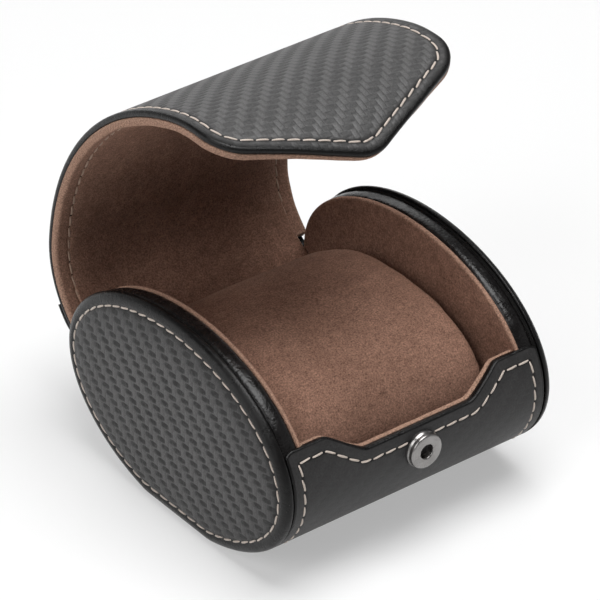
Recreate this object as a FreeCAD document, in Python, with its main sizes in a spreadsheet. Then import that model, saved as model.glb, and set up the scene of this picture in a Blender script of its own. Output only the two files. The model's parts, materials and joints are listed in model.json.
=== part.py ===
import FreeCAD, Part
import math
import os
from enum import IntEnum

import Sketcher

# Oval travel case for one watch, lid standing open.
# Millimetres. X runs along the barrel, -Y is the front with the snap, +Z is up.
# The origin is the middle of the flat that the case stands on.

Vector = FreeCAD.Vector
doc = FreeCAD.newDocument("watch_case")

# Driving sizes
SIZES = [
    ("case_width", 79.6, "overall width, outer face to outer face of the end discs"),
    ("case_depth", 86.0, "front to back of the end discs"),
    ("case_round", 56.5, "height of the end discs' oval before the foot is flattened"),
    ("foot_flat", 1.2, "how far the bottom of the oval is flattened"),
    ("leather", 0.9, "thickness of the covering leather"),
    ("disc_foam", 0.7, "foam under the face of an end disc"),
    ("disc_board", 1.0, "board of an end disc"),
    ("disc_edge_round", 1.6, "rounding of an end disc's outer edge"),
    ("groove", 0.4, "gap between an end disc and the rim band"),
    ("lid_gap", 2.5, "gap between an end disc and the lid"),
    ("rim_width", 4.4, "width of the rim band"),
    ("end_suede", 1.0, "thickness of the suede on the inner face of an end"),
    ("suede_margin", 0.3, "how far a suede lining stops short of the edge beside it"),
    ("panel_board", 1.1, "board in the barrel wall, the lid and the tongue"),
    ("suede", 1.6, "suede lining of the barrel wall, the lid and the tongue"),
    ("turned_edge", 1.0, "leather turned round the edge of a board"),
    ("front_end_height", 39.0, "height of the front wall beside the rims"),
    ("front_mid_height", 33.2, "height of the front wall at the scoop"),
    ("scoop_floor", 29.0, "straight length along the scoop's floor"),
    ("scoop_mouth", 52.0, "width of the scoop at its top"),
    ("scoop_round", 4.0, "rounding at the top and bottom of the scoop's slopes"),
    ("hinge_height", 25.4, "height of the lid's hinge axis"),
    ("hinge_setback", 1.3, "hinge axis behind the back of the end discs"),
    ("hinge_tail", 9.0, "height of the hinge strip's tail down the back wall"),
    ("fold_gap", 0.3, "free gap between a fold and the sheet that turns on it"),
    ("lid_lean", 36.0, "degrees above level at which the open lid leaves the hinge"),
    ("lid_back_radius", 24.2, "bend of the lid's back, to mid thickness"),
    ("lid_back_length", 25.6, "length of the lid's back along that bend"),
    ("lid_top_radius", 65.7, "bend of the lid's top, to mid thickness"),
    ("lid_top_length", 79.5, "length of the lid's top along that bend"),
    ("tongue_radius", 31.1, "bend of the tongue, to mid thickness"),
    ("tongue_length", 31.0, "length of the tongue along that bend, to its tip"),
    ("tongue_side", 9.5, "straight side of the tongue before its shoulder"),
    ("shoulder_round", 11.0, "rounding of the tongue's shoulders"),
    ("tip_round", 12.0, "rounding of the tongue's tip"),
    ("snap_diameter", 9.4, "outer diameter of the snap's socket"),
    ("snap_hole", 3.6, "hole of the socket"),
    ("snap_proud", 2.0, "how far the socket stands out of the front"),
    ("snap_edge_round", 0.8, "rounding of the socket's rim"),
    ("snap_tube_wall", 0.5, "wall of the tube that holds the socket in the board"),
    ("snap_play", 0.1, "clearance of the snap's tube and post in their holes"),
    ("washer_diameter", 8.0, "washers behind the socket and the stud"),
    ("washer_thick", 0.5, "thickness of those washers"),
    ("stud_along", 19.9, "place of the stud along the tongue, from its fold"),
    ("stud_diameter", 8.0, "flange of the stud"),
    ("stud_flange", 0.9, "thickness of the stud's flange"),
    ("stud_proud", 0.3, "how far that flange stands out of the suede"),
    ("stud_pin", 2.8, "diameter of the stud's pin"),
    ("stud_reach", 1.5, "length of the stud's pin in front of its flange"),
    ("cushion_depth", 67.0, "cushion from front to back"),
    ("cushion_height", 40.3, "cushion from bottom to top"),
    ("cushion_end_gap", 0.8, "gap between the cushion and the suede at each end"),
    ("cushion_rest", 0.3, "gap under the cushion"),
    ("cushion_skin", 1.0, "thickness of the cushion's suede"),
    ("cushion_draw", 2.2, "how far the cushion's ends are drawn in all round"),
    ("cushion_roll", 3.0, "length over which the cushion's ends round over"),
    ("cushion_crown", 0.8, "how far the cushion swells between its ends and its middle"),
]

sizes = doc.addObject("Spreadsheet::Sheet", "sizes")
for row, (alias, value, note) in enumerate(SIZES, start=1):
    sizes.set(f"A{row}", note)
    sizes.set(f"B{row}", str(value))
    sizes.setAlias(f"B{row}", alias)

# Places worked out from the driving sizes
PLACES = [
    ("mid_height", "=sizes.case_round / 2 - sizes.foot_flat"),
    ("face_x", "=sizes.case_width / 2"),
    ("disc_thick", "=sizes.leather + sizes.disc_foam + sizes.disc_board"),
    ("disc_x", "=face_x - disc_thick"),
    ("rim_x", "=disc_x - sizes.groove - sizes.rim_width"),
    ("inner_x", "=rim_x - sizes.end_suede"),
    ("panel_half", "=disc_x - sizes.groove"),
    ("flap_half", "=disc_x - sizes.lid_gap"),
    ("core_inset", "=2 * sizes.leather"),
    ("board_inset", "=sizes.leather + sizes.panel_board"),
    ("lining_inset", "=board_inset + sizes.suede"),
    ("sheet", "=sizes.leather + sizes.panel_board + sizes.suede"),
    ("roll", "=sheet / 2"),
    ("hinge_y", "=sizes.case_depth / 2 + sizes.hinge_setback"),
    ("back_sweep", "=sizes.lid_back_length / sizes.lid_back_radius * 180 / pi"),
    ("top_sweep", "=sizes.lid_top_length / sizes.lid_top_radius * 180 / pi"),
    ("tongue_sweep", "=sizes.tongue_length / sizes.tongue_radius * 180 / pi"),
    ("hinge_clear", "=(roll + sizes.fold_gap) / sizes.lid_back_radius * 180 / pi"),
    ("fold_clear", "=(roll + sizes.fold_gap) / sizes.tongue_radius * 180 / pi"),
    ("top_turn", "=sizes.lid_lean + back_sweep"),
    ("tongue_turn", "=top_turn + top_sweep"),
    ("back_y", "=hinge_y - sizes.lid_back_radius * sin(sizes.lid_lean)"),
    ("back_z", "=sizes.hinge_height + sizes.lid_back_radius * cos(sizes.lid_lean)"),
    ("top_y", "=back_y - (sizes.lid_top_radius - sizes.lid_back_radius) * sin(top_turn)"),
    ("top_z", "=back_z + (sizes.lid_top_radius - sizes.lid_back_radius) * cos(top_turn)"),
    ("fold_y", "=top_y + sizes.lid_top_radius * sin(tongue_turn)"),
    ("fold_z", "=top_z - sizes.lid_top_radius * cos(tongue_turn)"),
    ("tongue_y", "=top_y + (sizes.lid_top_radius - sizes.tongue_radius) * sin(tongue_turn)"),
    ("tongue_z", "=top_z - (sizes.lid_top_radius - sizes.tongue_radius) * cos(tongue_turn)"),
    ("stud_angle", "=tongue_turn - 90 + sizes.stud_along / sizes.tongue_radius * 180 / pi"),
    ("stud_arm", "=sizes.tongue_radius - roll"),
    ("stud_y", "=tongue_y + stud_arm * cos(stud_angle)"),
    ("stud_z", "=tongue_z + stud_arm * sin(stud_angle)"),
    ("panel_y", "=sizes.case_depth / 2"),
    ("tube", "=sizes.snap_hole / 2 + sizes.snap_tube_wall"),
    ("cushion_half", "=inner_x - sizes.cushion_end_gap"),
    ("cushion_z", "=lining_inset + sizes.cushion_rest + sizes.cushion_height / 2"),
]

places = doc.addObject("Spreadsheet::Sheet", "places")
for row, (alias, formula) in enumerate(PLACES, start=1):
    places.setAlias(f"B{row}", alias)
    places.set(f"B{row}", formula)
doc.recompute()

# Turns a shape drawn in local XY about local Z so that it lies in YZ and runs along X.
ALONG_X = "rotation(vector(1; 1; 1); 120)"


def bind(thing, **expressions):
    for name, expression in expressions.items():
        thing.setExpression(name, expression)
    return thing


def place(thing, x, y, z, turn=None):
    rotation = f"; {turn}" if turn else "; rotation(vector(1; 0; 0); 0)"
    thing.setExpression("Placement", f"placement(vector({x}; {y}; {z}){rotation})")
    return thing


def cut(name, base, tool):
    result = doc.addObject("Part::Cut", name)
    result.Base = base
    result.Tool = tool
    return result


def common(name, base, tool):
    result = doc.addObject("Part::Common", name)
    result.Base = base
    result.Tool = tool
    return result


def fuse(name, base, tool):
    result = doc.addObject("Part::Fuse", name)
    result.Base = base
    result.Tool = tool
    result.Refine = True
    return result


def box(name, x_low, x_size, y_low, y_size, z_low, z_size):
    block = doc.addObject("Part::Box", name)
    bind(block, Length=x_size, Width=y_size, Height=z_size)
    return place(block, x_low, y_low, z_low)


def oval(name, inset, x_low, x_size):
    """Block of the barrel's oval, drawn in by an inset all round, its foot flattened alike."""
    curve = bind(
        doc.addObject("Part::Ellipse", f"{name}_curve"),
        MajorRadius=f"sizes.case_depth / 2 - ({inset})",
        MinorRadius=f"sizes.case_round / 2 - ({inset})",
    )
    place(curve, x_low, "0", "places.mid_height", ALONG_X)
    block = doc.addObject("Part::Extrusion", f"{name}_block")
    block.Base = curve
    block.DirMode = "Normal"
    block.Solid = True
    bind(block, LengthFwd=x_size)
    above = box(
        f"{name}_above", x_low, x_size,
        "-sizes.case_depth", "2 * sizes.case_depth", inset, "sizes.case_round",
    )
    return common(name, block, above)


def roller(name, radius, y, z, half):
    rod = bind(doc.addObject("Part::Cylinder", name), Radius=radius, Height=f"2 * ({half})")
    return place(rod, f"-({half})", y, z, ALONG_X)


def bend(name, centre, radius, low, high, start, sweep, half):
    """Bent sheet: the part of a ring between two depths under its outer skin."""
    outer = bind(
        doc.addObject("Part::Cylinder", f"{name}_outer"),
        Radius=f"{radius} + places.roll - ({low})",
        Height=f"2 * ({half})",
        Angle=sweep,
    )
    turn = f"rotation(vector(1; 0; 0); {start}) * {ALONG_X}"
    place(outer, f"-({half})", f"places.{centre}_y", f"places.{centre}_z", turn)
    inner = roller(
        f"{name}_inner", f"{radius} + places.roll - ({high})",
        f"places.{centre}_y", f"places.{centre}_z", half,
    )
    return cut(name, outer, inner)


def lid_sheet(name, low, high, half):
    """One layer of the lid: the tight bend of its back running on into its flatter top."""
    back = bend(
        f"{name}_back", "back", "sizes.lid_back_radius", low, high,
        "sizes.lid_lean - 90 + places.hinge_clear", "places.back_sweep - places.hinge_clear", half,
    )
    top = bend(
        f"{name}_top", "top", "sizes.lid_top_radius", low, high,
        "places.top_turn - 90", "places.top_sweep", half,
    )
    return fuse(name, back, top)


def draw(sketch, points, links, arcs):
    """Closed outline through points: lines, or arcs about a centre where arcs names one."""
    for index, (first, second) in enumerate(links):
        start = Vector(*points[first], 0)
        end = Vector(*points[second], 0)
        if index in arcs:
            (centre_x, centre_y), anticlockwise = arcs[index]
            centre = Vector(centre_x, centre_y, 0)
            circle = Part.Circle(centre, Vector(0, 0, 1), start.distanceToPoint(centre))
            ends = (start, end) if anticlockwise else (end, start)
            low, high = (circle.parameter(point) for point in ends)
            sketch.addGeometry(Part.ArcOfCircle(circle, low, high), False)
        else:
            sketch.addGeometry(Part.LineSegment(start, end), False)


def value(alias):
    return float(getattr(sizes, alias, None) or getattr(places, alias))


def dimension(sketch, name, constraint, expression):
    sketch.addConstraint(constraint)
    sketch.renameConstraint(sketch.ConstraintCount - 1, name)
    sketch.setExpression(f"Constraints.{name}", expression)


def body_sketch(name, plane):
    body = doc.addObject("PartDesign::Body", f"{name}_body")
    sketch = body.newObject("Sketcher::SketchObject", f"{name}_sketch")
    origin = [item for item in body.Origin.OriginFeatures if item.Role == plane][0]
    sketch.AttachmentSupport = [(origin, "")]
    sketch.MapMode = "FlatFace"
    return body, sketch


class Spot(IntEnum):
    """Point of a sketch element, as the sketcher counts them."""

    START = 1
    END = 2
    CENTRE = 3


class Axis(IntEnum):
    """The sketch's own origin and upright axis."""

    ORIGIN = -1
    UPRIGHT = -2


ORIGIN_POINT = (Axis.ORIGIN, Spot.START)


def tongue_outline(name, margin):
    """Prism of the tongue's outline, seen square to its middle: straight sides, rounded shoulders
    and a blunt rounded tip, drawn in by a margin."""
    body, sketch = body_sketch(name, "XY_Plane")
    half = value("flap_half")
    middle = value("tongue_sweep") / 2
    arm = value("tongue_radius")
    root = -arm
    shoulder_y = arm * math.sin(math.radians(value("tongue_side") / arm * 180 / math.pi - middle))
    tip_y = arm * math.sin(math.radians(middle)) - value("tip_round")
    shoulder = value("shoulder_round")
    tip = value("tip_round")
    # The slanted side is the outer tangent of the shoulder's arc and the tip's arc.
    run = (half - shoulder, shoulder_y - tip_y)
    lean = math.atan2(run[1], run[0]) + math.acos((tip - shoulder) / math.hypot(*run))
    slant = (math.cos(lean), math.sin(lean))
    points = [
        (-half, root),
        (half, root),
        (half, shoulder_y),
        (half - shoulder + shoulder * slant[0], shoulder_y + shoulder * slant[1]),
        (tip * slant[0], tip_y + tip * slant[1]),
        (-tip * slant[0], tip_y + tip * slant[1]),
        (-half + shoulder - shoulder * slant[0], shoulder_y + shoulder * slant[1]),
        (-half, shoulder_y),
    ]
    links = [(index, (index + 1) % len(points)) for index in range(len(points))]
    arcs = {
        2: ((half - shoulder, shoulder_y), True),
        4: ((0, tip_y), True),
        6: ((shoulder - half, shoulder_y), True),
    }
    draw(sketch, points, links, arcs)
    root_line, right, right_arc, tip_arc, left_arc = 0, 1, 2, 4, 6
    for first, second in links:
        meeting = "Coincident" if root_line in (first, second) else "Tangent"
        sketch.addConstraint(Sketcher.Constraint(meeting, first, Spot.END, second, Spot.START))
    sketch.addConstraint(Sketcher.Constraint("Vertical", right))
    sketch.addConstraint(Sketcher.Constraint("PointOnObject", tip_arc, Spot.CENTRE, Axis.UPRIGHT))
    sketch.addConstraint(
        Sketcher.Constraint("Symmetric", root_line, Spot.START, root_line, Spot.END, Axis.UPRIGHT)
    )
    sketch.addConstraint(
        Sketcher.Constraint("Symmetric", right_arc, Spot.CENTRE, left_arc, Spot.CENTRE, Axis.UPRIGHT)
    )
    sketch.addConstraint(Sketcher.Constraint("Equal", right_arc, left_arc))
    dimension(
        sketch, "width", Sketcher.Constraint("Distance", root_line, 2 * half),
        f"2 * (places.flap_half - {margin})",
    )
    dimension(
        sketch, "root", Sketcher.Constraint("DistanceY", right, Spot.START, *ORIGIN_POINT, -root),
        "sizes.tongue_radius",
    )
    dimension(
        sketch, "shoulder", Sketcher.Constraint("Radius", right_arc, shoulder),
        f"sizes.shoulder_round - {margin}",
    )
    dimension(
        sketch, "tip", Sketcher.Constraint("Radius", tip_arc, tip), f"sizes.tip_round - {margin}"
    )
    dimension(
        sketch, "shoulder_place",
        Sketcher.Constraint("DistanceY", right_arc, Spot.CENTRE, *ORIGIN_POINT, -shoulder_y),
        "sizes.tongue_radius * sin(places.tongue_sweep / 2"
        " - sizes.tongue_side / sizes.tongue_radius * 180 / pi)",
    )
    dimension(
        sketch, "tip_place",
        Sketcher.Constraint("DistanceY", *ORIGIN_POINT, tip_arc, Spot.CENTRE, tip_y),
        "sizes.tongue_radius * sin(places.tongue_sweep / 2) - sizes.tip_round",
    )
    pad = body.newObject("PartDesign::Pad", f"{name}_pad")
    pad.Profile = sketch
    pad.Reversed = True
    bind(pad, Length="2 * sizes.tongue_radius")
    turn = "rotation(vector(1; 0; 0); places.tongue_turn + places.tongue_sweep / 2)"
    return place(body, "0", "places.tongue_y", "places.tongue_z", turn)


def scoop_block(name, lower):
    """Everything in front and above the front wall's scooped edge, which lies lower by a margin."""
    body, sketch = body_sketch(name, "XZ_Plane")
    floor = value("scoop_floor") / 2
    mouth = value("scoop_mouth") / 2
    radius = value("scoop_round")
    low = value("front_mid_height")
    high = value("front_end_height")
    reach = value("case_width")
    ceiling = value("case_round") * 2
    # The slope is the line that touches the lower arc from below and the upper arc from above.
    run = (mouth - floor, high - low - 2 * radius)
    lean = math.atan2(run[1], run[0]) + math.asin(2 * radius / math.hypot(*run))
    off = (radius * math.sin(lean), radius * math.cos(lean))
    foot = (floor + off[0], low + radius - off[1])
    head = (mouth - off[0], high - radius + off[1])
    points = [
        (-reach, ceiling),
        (-reach, high),
        (-mouth, high),
        (-head[0], head[1]),
        (-foot[0], foot[1]),
        (-floor, low),
        (floor, low),
        foot,
        head,
        (mouth, high),
        (reach, high),
        (reach, ceiling),
    ]
    links = [(index, (index + 1) % len(points)) for index in range(len(points))]
    left, left_ledge, left_top, _, left_low, bottom = range(6)
    right_low, _, right_top, right_ledge, right, ceiling_line = range(6, 12)
    arcs = {
        left_top: ((-mouth, high - radius), False),
        left_low: ((-floor, low + radius), True),
        right_low: ((floor, low + radius), True),
        right_top: ((mouth, high - radius), False),
    }
    draw(sketch, points, links, arcs)
    # An arc drawn clockwise keeps its two ends the other way round.
    swapped = (left_top, right_top)
    for first, second in links:
        first_end = Spot.START if first in swapped else Spot.END
        second_start = Spot.END if second in swapped else Spot.START
        smooth = left_ledge <= first < right_ledge
        meeting = "Tangent" if smooth else "Coincident"
        sketch.addConstraint(Sketcher.Constraint(meeting, first, first_end, second, second_start))
    for line in (left_ledge, ceiling_line):
        sketch.addConstraint(Sketcher.Constraint("Horizontal", line))
    for line in (left, right):
        sketch.addConstraint(Sketcher.Constraint("Vertical", line))
    sketch.addConstraint(
        Sketcher.Constraint("Symmetric", bottom, Spot.START, bottom, Spot.END, Axis.UPRIGHT)
    )
    sketch.addConstraint(
        Sketcher.Constraint("Symmetric", left_ledge, Spot.END, right_ledge, Spot.START, Axis.UPRIGHT)
    )
    sketch.addConstraint(
        Sketcher.Constraint("Symmetric", left_ledge, Spot.START, right_ledge, Spot.END, Axis.UPRIGHT)
    )
    for arc in (left_low, right_low, right_top):
        sketch.addConstraint(Sketcher.Constraint("Equal", left_top, arc))
    dimension(
        sketch, "round", Sketcher.Constraint("Radius", left_top, radius), "sizes.scoop_round"
    )
    dimension(
        sketch, "floor", Sketcher.Constraint("Distance", bottom, 2 * floor),
        f"sizes.scoop_floor + 2 * {lower}",
    )
    dimension(
        sketch, "mouth",
        Sketcher.Constraint("DistanceX", left_ledge, Spot.END, right_ledge, Spot.START, 2 * mouth),
        f"sizes.scoop_mouth + 2 * {lower}",
    )
    dimension(
        sketch, "low", Sketcher.Constraint("DistanceY", *ORIGIN_POINT, bottom, Spot.START, low),
        f"sizes.front_mid_height - {lower}",
    )
    dimension(
        sketch, "high", Sketcher.Constraint("DistanceY", *ORIGIN_POINT, left_ledge, Spot.START, high),
        f"sizes.front_end_height - {lower}",
    )
    dimension(
        sketch, "reach",
        Sketcher.Constraint("DistanceX", left_ledge, Spot.START, right_ledge, Spot.END, 2 * reach),
        "2 * sizes.case_width",
    )
    dimension(
        sketch, "ceiling",
        Sketcher.Constraint("DistanceY", *ORIGIN_POINT, ceiling_line, Spot.START, ceiling),
        "2 * sizes.case_round",
    )
    pad = body.newObject("PartDesign::Pad", f"{name}_pad")
    pad.Profile = sketch
    bind(pad, Length="sizes.case_depth")
    return body


def wall_layer(name, outer_inset, inner_inset, half, scoop, back_drop):
    """One layer of the barrel's wall: an oval ring, scooped at the front and open at the top,
    whose back edge lies below the hinge axis by back_drop."""
    low, length = f"-({half})", f"2 * ({half})"
    ring = cut(
        f"{name}_ring",
        oval(f"{name}_outer", outer_inset, low, length),
        oval(f"{name}_inner", inner_inset, low, length),
    )
    back = box(
        f"{name}_back", "-sizes.case_width", "2 * sizes.case_width",
        "0", "sizes.case_depth", f"sizes.hinge_height - {back_drop}", "2 * sizes.case_round",
    )
    return cut(name, cut(f"{name}_fronted", ring, scoop), back)


def across_front(name, radius, y_from, y_to):
    """Rod along Y through the snap's centre, from one depth to another in front of the middle."""
    rod = bind(
        doc.addObject("Part::Cylinder", name), Radius=radius, Height=f"({y_to}) - ({y_from})"
    )
    return place(rod, "0", f"-({y_from})", "places.mid_height", "rotation(vector(1; 0; 0); 90)")


def at_stud(name, radius, low, high):
    """Rod along the stud's axis; heights count from the tongue's suede, outwards to its leather."""
    rod = bind(doc.addObject("Part::Cylinder", name), Radius=radius, Height=f"({high}) - ({low})")
    return place(
        rod, "0",
        f"places.stud_y + ({low}) * cos(places.stud_angle)",
        f"places.stud_z + ({low}) * sin(places.stud_angle)",
        "rotation(vector(1; 0; 0); places.stud_angle - 90)",
    )


nodes = {}


def keep(node, shape_object):
    shape_object.Label = node
    nodes[node] = shape_object
    return shape_object


def make_end(side, sign):
    """End disc, rim and inner suede of one end; sign is -1 on the left and 1 on the right."""

    def span(near, far):
        """Lowest X and length of a slice from near to far, both counted out from the middle."""
        low = near if sign > 0 else f"-({far})"
        return low, f"({far}) - ({near})"

    foam_x = "places.disc_x + sizes.disc_board"
    skin_x = "places.face_x - sizes.leather"
    blank = oval(f"{side}_disc", "0", *span("places.disc_x", "places.face_x"))
    doc.recompute()
    rounded = doc.addObject("Part::Fillet", f"{side}_disc_rounded")
    rounded.Base = blank
    face_x = sign * value("face_x")
    edges = [
        number for number, edge in enumerate(blank.Shape.Edges, start=1)
        if all(abs(vertex.X - face_x) < 1e-6 for vertex in edge.Vertexes)
    ]
    rounded.Edges = [(number, value("disc_edge_round"), value("disc_edge_round")) for number in edges]
    pocket = oval(f"{side}_pocket", "sizes.leather", *span("places.disc_x", skin_x))
    keep(f"{side}_end_cover", cut(f"{side}_end_cover", rounded, pocket))
    keep(f"{side}_end_foam", oval(f"{side}_end_foam", "sizes.leather", *span(foam_x, skin_x)))
    keep(f"{side}_end_board", oval(f"{side}_end_board", "sizes.leather", *span("places.disc_x", foam_x)))
    keep(
        f"{side}_rim_core",
        oval(f"{side}_rim_core", "places.core_inset", *span("places.rim_x", "places.disc_x")),
    )
    band_span = span("places.rim_x", "places.panel_half")
    keep(
        f"{side}_rim_band",
        cut(
            f"{side}_rim_band",
            oval(f"{side}_band_outer", "sizes.leather", *band_span),
            oval(f"{side}_band_inner", "places.core_inset", *band_span),
        ),
    )
    keep(
        f"{side}_end_lining",
        oval(
            f"{side}_end_lining", "sizes.leather + sizes.suede_margin",
            *span("places.inner_x", "places.rim_x"),
        ),
    )


def make_barrel():
    scoop = scoop_block("scoop", "0")
    board_scoop = scoop_block("board_scoop", "sizes.turned_edge")
    lining_scoop = scoop_block("lining_scoop", "sizes.suede_margin")
    board = wall_layer(
        "board_wall", "sizes.leather", "places.board_inset", "places.inner_x",
        board_scoop, "sizes.turned_edge",
    )
    skin = wall_layer("skin_wall", "0", "sizes.leather", "places.panel_half", scoop, "0")
    edge = wall_layer(
        "edge_wall", "sizes.leather", "places.board_inset", "places.inner_x", scoop, "0"
    )
    lining = wall_layer(
        "lining_wall", "places.board_inset", "places.lining_inset", "places.inner_x",
        lining_scoop, "sizes.suede_margin",
    )
    turned = cut("turned_edges", edge, board)
    cover = fuse("cover_wall", skin, turned)

    # The snap's socket is held by a tube through leather and board, and a washer bent to the wall.
    hole = across_front(
        "snap_wall_hole", "places.tube + sizes.snap_play",
        "places.panel_y - places.sheet", "places.panel_y + sizes.snap_proud",
    )
    washer_rod = across_front(
        "washer_rod", "sizes.washer_diameter / 2",
        "places.panel_y - places.sheet", "places.panel_y",
    )
    washer_span = ("-sizes.washer_diameter", "2 * sizes.washer_diameter")
    washer_ring = cut(
        "washer_ring",
        oval("washer_outer", "places.board_inset", *washer_span),
        oval("washer_inner", "places.board_inset + sizes.washer_thick", *washer_span),
    )
    washer_seat = common("washer_seat", washer_ring, washer_rod)
    keep("barrel_cover", cut("barrel_cover", cover, hole))
    keep("barrel_board", cut("barrel_board", board, hole))
    keep("barrel_lining", cut("barrel_lining", lining, washer_seat))
    keep("snap_washer", cut("snap_washer", washer_seat, hole))

    rim = doc.addObject("Part::Fillet", "socket_rim")
    rim.Base = across_front(
        "socket_blank", "sizes.snap_diameter / 2",
        "places.panel_y - sizes.leather", "places.panel_y + sizes.snap_proud",
    )
    doc.recompute()
    front_y = -value("panel_y") - value("snap_proud")
    front_edges = [
        number for number, edge in enumerate(rim.Base.Shape.Edges, start=1)
        if all(abs(vertex.Y - front_y) < 1e-6 for vertex in edge.Vertexes)
    ]
    rim.Edges = [(number, value("snap_edge_round"), value("snap_edge_round")) for number in front_edges]
    socket_cap = cut("socket_cap", rim, oval("socket_seat", "0", *washer_span))
    tube = across_front(
        "socket_tube", "places.tube",
        "places.panel_y - sizes.leather - sizes.panel_board", "places.panel_y + sizes.snap_proud / 2",
    )
    bore = across_front(
        "socket_bore", "sizes.snap_hole / 2",
        "places.panel_y - places.sheet", "places.panel_y + 2 * sizes.snap_proud",
    )
    keep("snap_socket", cut("snap_socket", fuse("socket_solid", socket_cap, tube), bore))

    # Rolled strip along the back edge; its tail lies on the outside of the back wall.
    tail = common(
        "hinge_tail",
        oval("tail_outer", "-sizes.leather", "-places.flap_half", "2 * places.flap_half"),
        box(
            "tail_window", "-places.flap_half", "2 * places.flap_half", "0", "sizes.case_depth",
            "sizes.hinge_height - sizes.hinge_tail", "sizes.hinge_tail",
        ),
    )
    roll = roller("hinge_roll", "places.roll", "places.hinge_y", "sizes.hinge_height", "places.flap_half")
    wall = oval("strip_seat", "0", "-places.flap_half", "2 * places.flap_half")
    keep("hinge_strip", cut("hinge_strip", fuse("hinge_blank", tail, roll), wall))


def make_lid():
    inner = "sizes.leather + sizes.panel_board"
    half = "places.flap_half"
    board = lid_sheet("lid_board", "sizes.leather", inner, f"{half} - sizes.turned_edge")
    keep("lid_board", board)
    keep("lid_cover", cut("lid_cover", lid_sheet("lid_blank", "0", inner, half), board))
    keep("lid_lining", lid_sheet("lid_lining", inner, "places.sheet", f"{half} - sizes.suede_margin"))
    # Half-round fold on the lid's front edge, which the tongue turns on.
    fold = bind(
        doc.addObject("Part::Cylinder", "lid_fold"),
        Radius="places.roll", Height="2 * places.flap_half", Angle="180",
    )
    turn = f"rotation(vector(1; 0; 0); places.tongue_turn - 90) * {ALONG_X}"
    place(fold, "-places.flap_half", "places.fold_y", "places.fold_z", turn)
    keep("lid_fold", fold)


def tongue_layer(name, low, high, margin):
    # The bent blank runs on past the tip, where the outline cuts it.
    blank = bend(
        f"{name}_blank", "tongue", "sizes.tongue_radius", low, high,
        "places.tongue_turn - 90 + places.fold_clear", "places.tongue_sweep * 1.3", "places.flap_half",
    )
    return common(name, blank, tongue_outline(f"{name}_outline", margin))


def make_tongue():
    inner = "sizes.leather + sizes.panel_board"
    board = tongue_layer("tongue_board_sheet", "sizes.leather", inner, "sizes.turned_edge")
    blank = tongue_layer("tongue_blank_sheet", "0", inner, "0")
    lining = tongue_layer("tongue_lining_sheet", inner, "places.sheet", "sizes.suede_margin")
    keep("tongue_cover", cut("tongue_cover", blank, board))

    # The stud's flange sinks into the suede, and its post ends in a washer let into the board.
    washer_rod = at_stud(
        "stud_washer_rod", "sizes.washer_diameter / 2",
        "sizes.suede - sizes.washer_thick", "sizes.suede + sizes.washer_thick",
    )
    post_hole = at_stud(
        "stud_post_hole", "sizes.stud_pin / 2 + sizes.snap_play",
        "-sizes.suede", "sizes.suede + 2 * sizes.washer_thick",
    )
    flange_seat = at_stud(
        "stud_flange_seat", "sizes.stud_diameter / 2 + sizes.snap_play",
        "-sizes.suede", "sizes.stud_flange - sizes.stud_proud",
    )
    washer_blank = common("stud_washer_blank", board, washer_rod)
    keep("tongue_board", cut("tongue_board", board, washer_rod))
    keep("stud_washer", cut("stud_washer", washer_blank, post_hole))
    keep(
        "tongue_lining",
        cut("tongue_lining", cut("tongue_lining_seat", lining, flange_seat), post_hole),
    )
    flange = at_stud(
        "stud_flange", "sizes.stud_diameter / 2",
        "-sizes.stud_proud", "sizes.stud_flange - sizes.stud_proud",
    )
    post = at_stud(
        "stud_post", "sizes.stud_pin / 2",
        "-sizes.stud_proud - sizes.stud_reach", "sizes.suede + sizes.washer_thick / 2",
    )
    keep("snap_stud", fuse("snap_stud", flange, post))


def cushion_section(x, draw_in):
    """Closed oval of four arcs at one place along the cushion."""
    half_depth = value("cushion_depth") / 2 - draw_in
    half_height = value("cushion_height") / 2 - draw_in
    middle = value("cushion_z")
    diagonal = math.hypot(half_depth, half_height)
    # Four-centre oval: small arcs at front and back, large arcs at top and bottom.
    excess = (diagonal - (half_depth - half_height)) / 2
    slope = math.atan2(half_height, half_depth)
    small = excess / math.cos(slope)

    def corner(sign_y, sign_z):
        return Vector(
            x,
            sign_y * (half_depth - small + small * math.sin(slope)),
            middle + sign_z * (small * math.cos(slope)),
        )

    tops = {sign: Vector(x, 0, middle + sign * half_height) for sign in (-1, 1)}
    ends = {sign: Vector(x, sign * half_depth, middle) for sign in (-1, 1)}
    return Part.Wire(
        [
            Part.Arc(corner(1, -1), ends[1], corner(1, 1)).toShape(),
            Part.Arc(corner(1, 1), tops[1], corner(-1, 1)).toShape(),
            Part.Arc(corner(-1, 1), ends[-1], corner(-1, -1)).toShape(),
            Part.Arc(corner(-1, -1), tops[-1], corner(1, -1)).toShape(),
        ]
    )


def cushion_loft(name, skin):
    """The cushion's crowned oval roll with drawn-in ends, under a skin of that thickness."""
    half = value("cushion_half")
    roll = value("cushion_roll")
    draw_in = value("cushion_draw")
    crown = value("cushion_crown")
    stations = [
        (-half, draw_in),
        (-half + roll, crown),
        (-half / 2, crown / 4),
        (0, 0),
        (half / 2, crown / 4),
        (half - roll, crown),
        (half, draw_in),
    ]
    wires = [cushion_section(x, inset + skin) for x, inset in stations]
    feature = doc.addObject("Part::Feature", name)
    feature.Shape = Part.makeLoft(wires, True, False)
    return feature


def make_cushion():
    whole = cushion_loft("cushion_whole", 0)
    core = cushion_loft("cushion_core", value("cushion_skin"))
    tall = ("-sizes.case_depth", "2 * sizes.case_depth", "-sizes.case_round", "4 * sizes.case_round")
    foam_half = "places.cushion_half - sizes.cushion_skin"
    keep("cushion_cover", cut("cushion_cover", whole, core))
    middle = box("foam_window", f"-({foam_half})", f"2 * ({foam_half})", *tall)
    keep("cushion_foam", common("cushion_foam", core, middle))
    left = box("left_window", "-places.cushion_half", "sizes.cushion_skin", *tall)
    keep("left_cushion_end", common("left_cushion_end", core, left))
    right = box("right_window", foam_half, "sizes.cushion_skin", *tall)
    keep("right_cushion_end", common("right_cushion_end", core, right))


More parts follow.
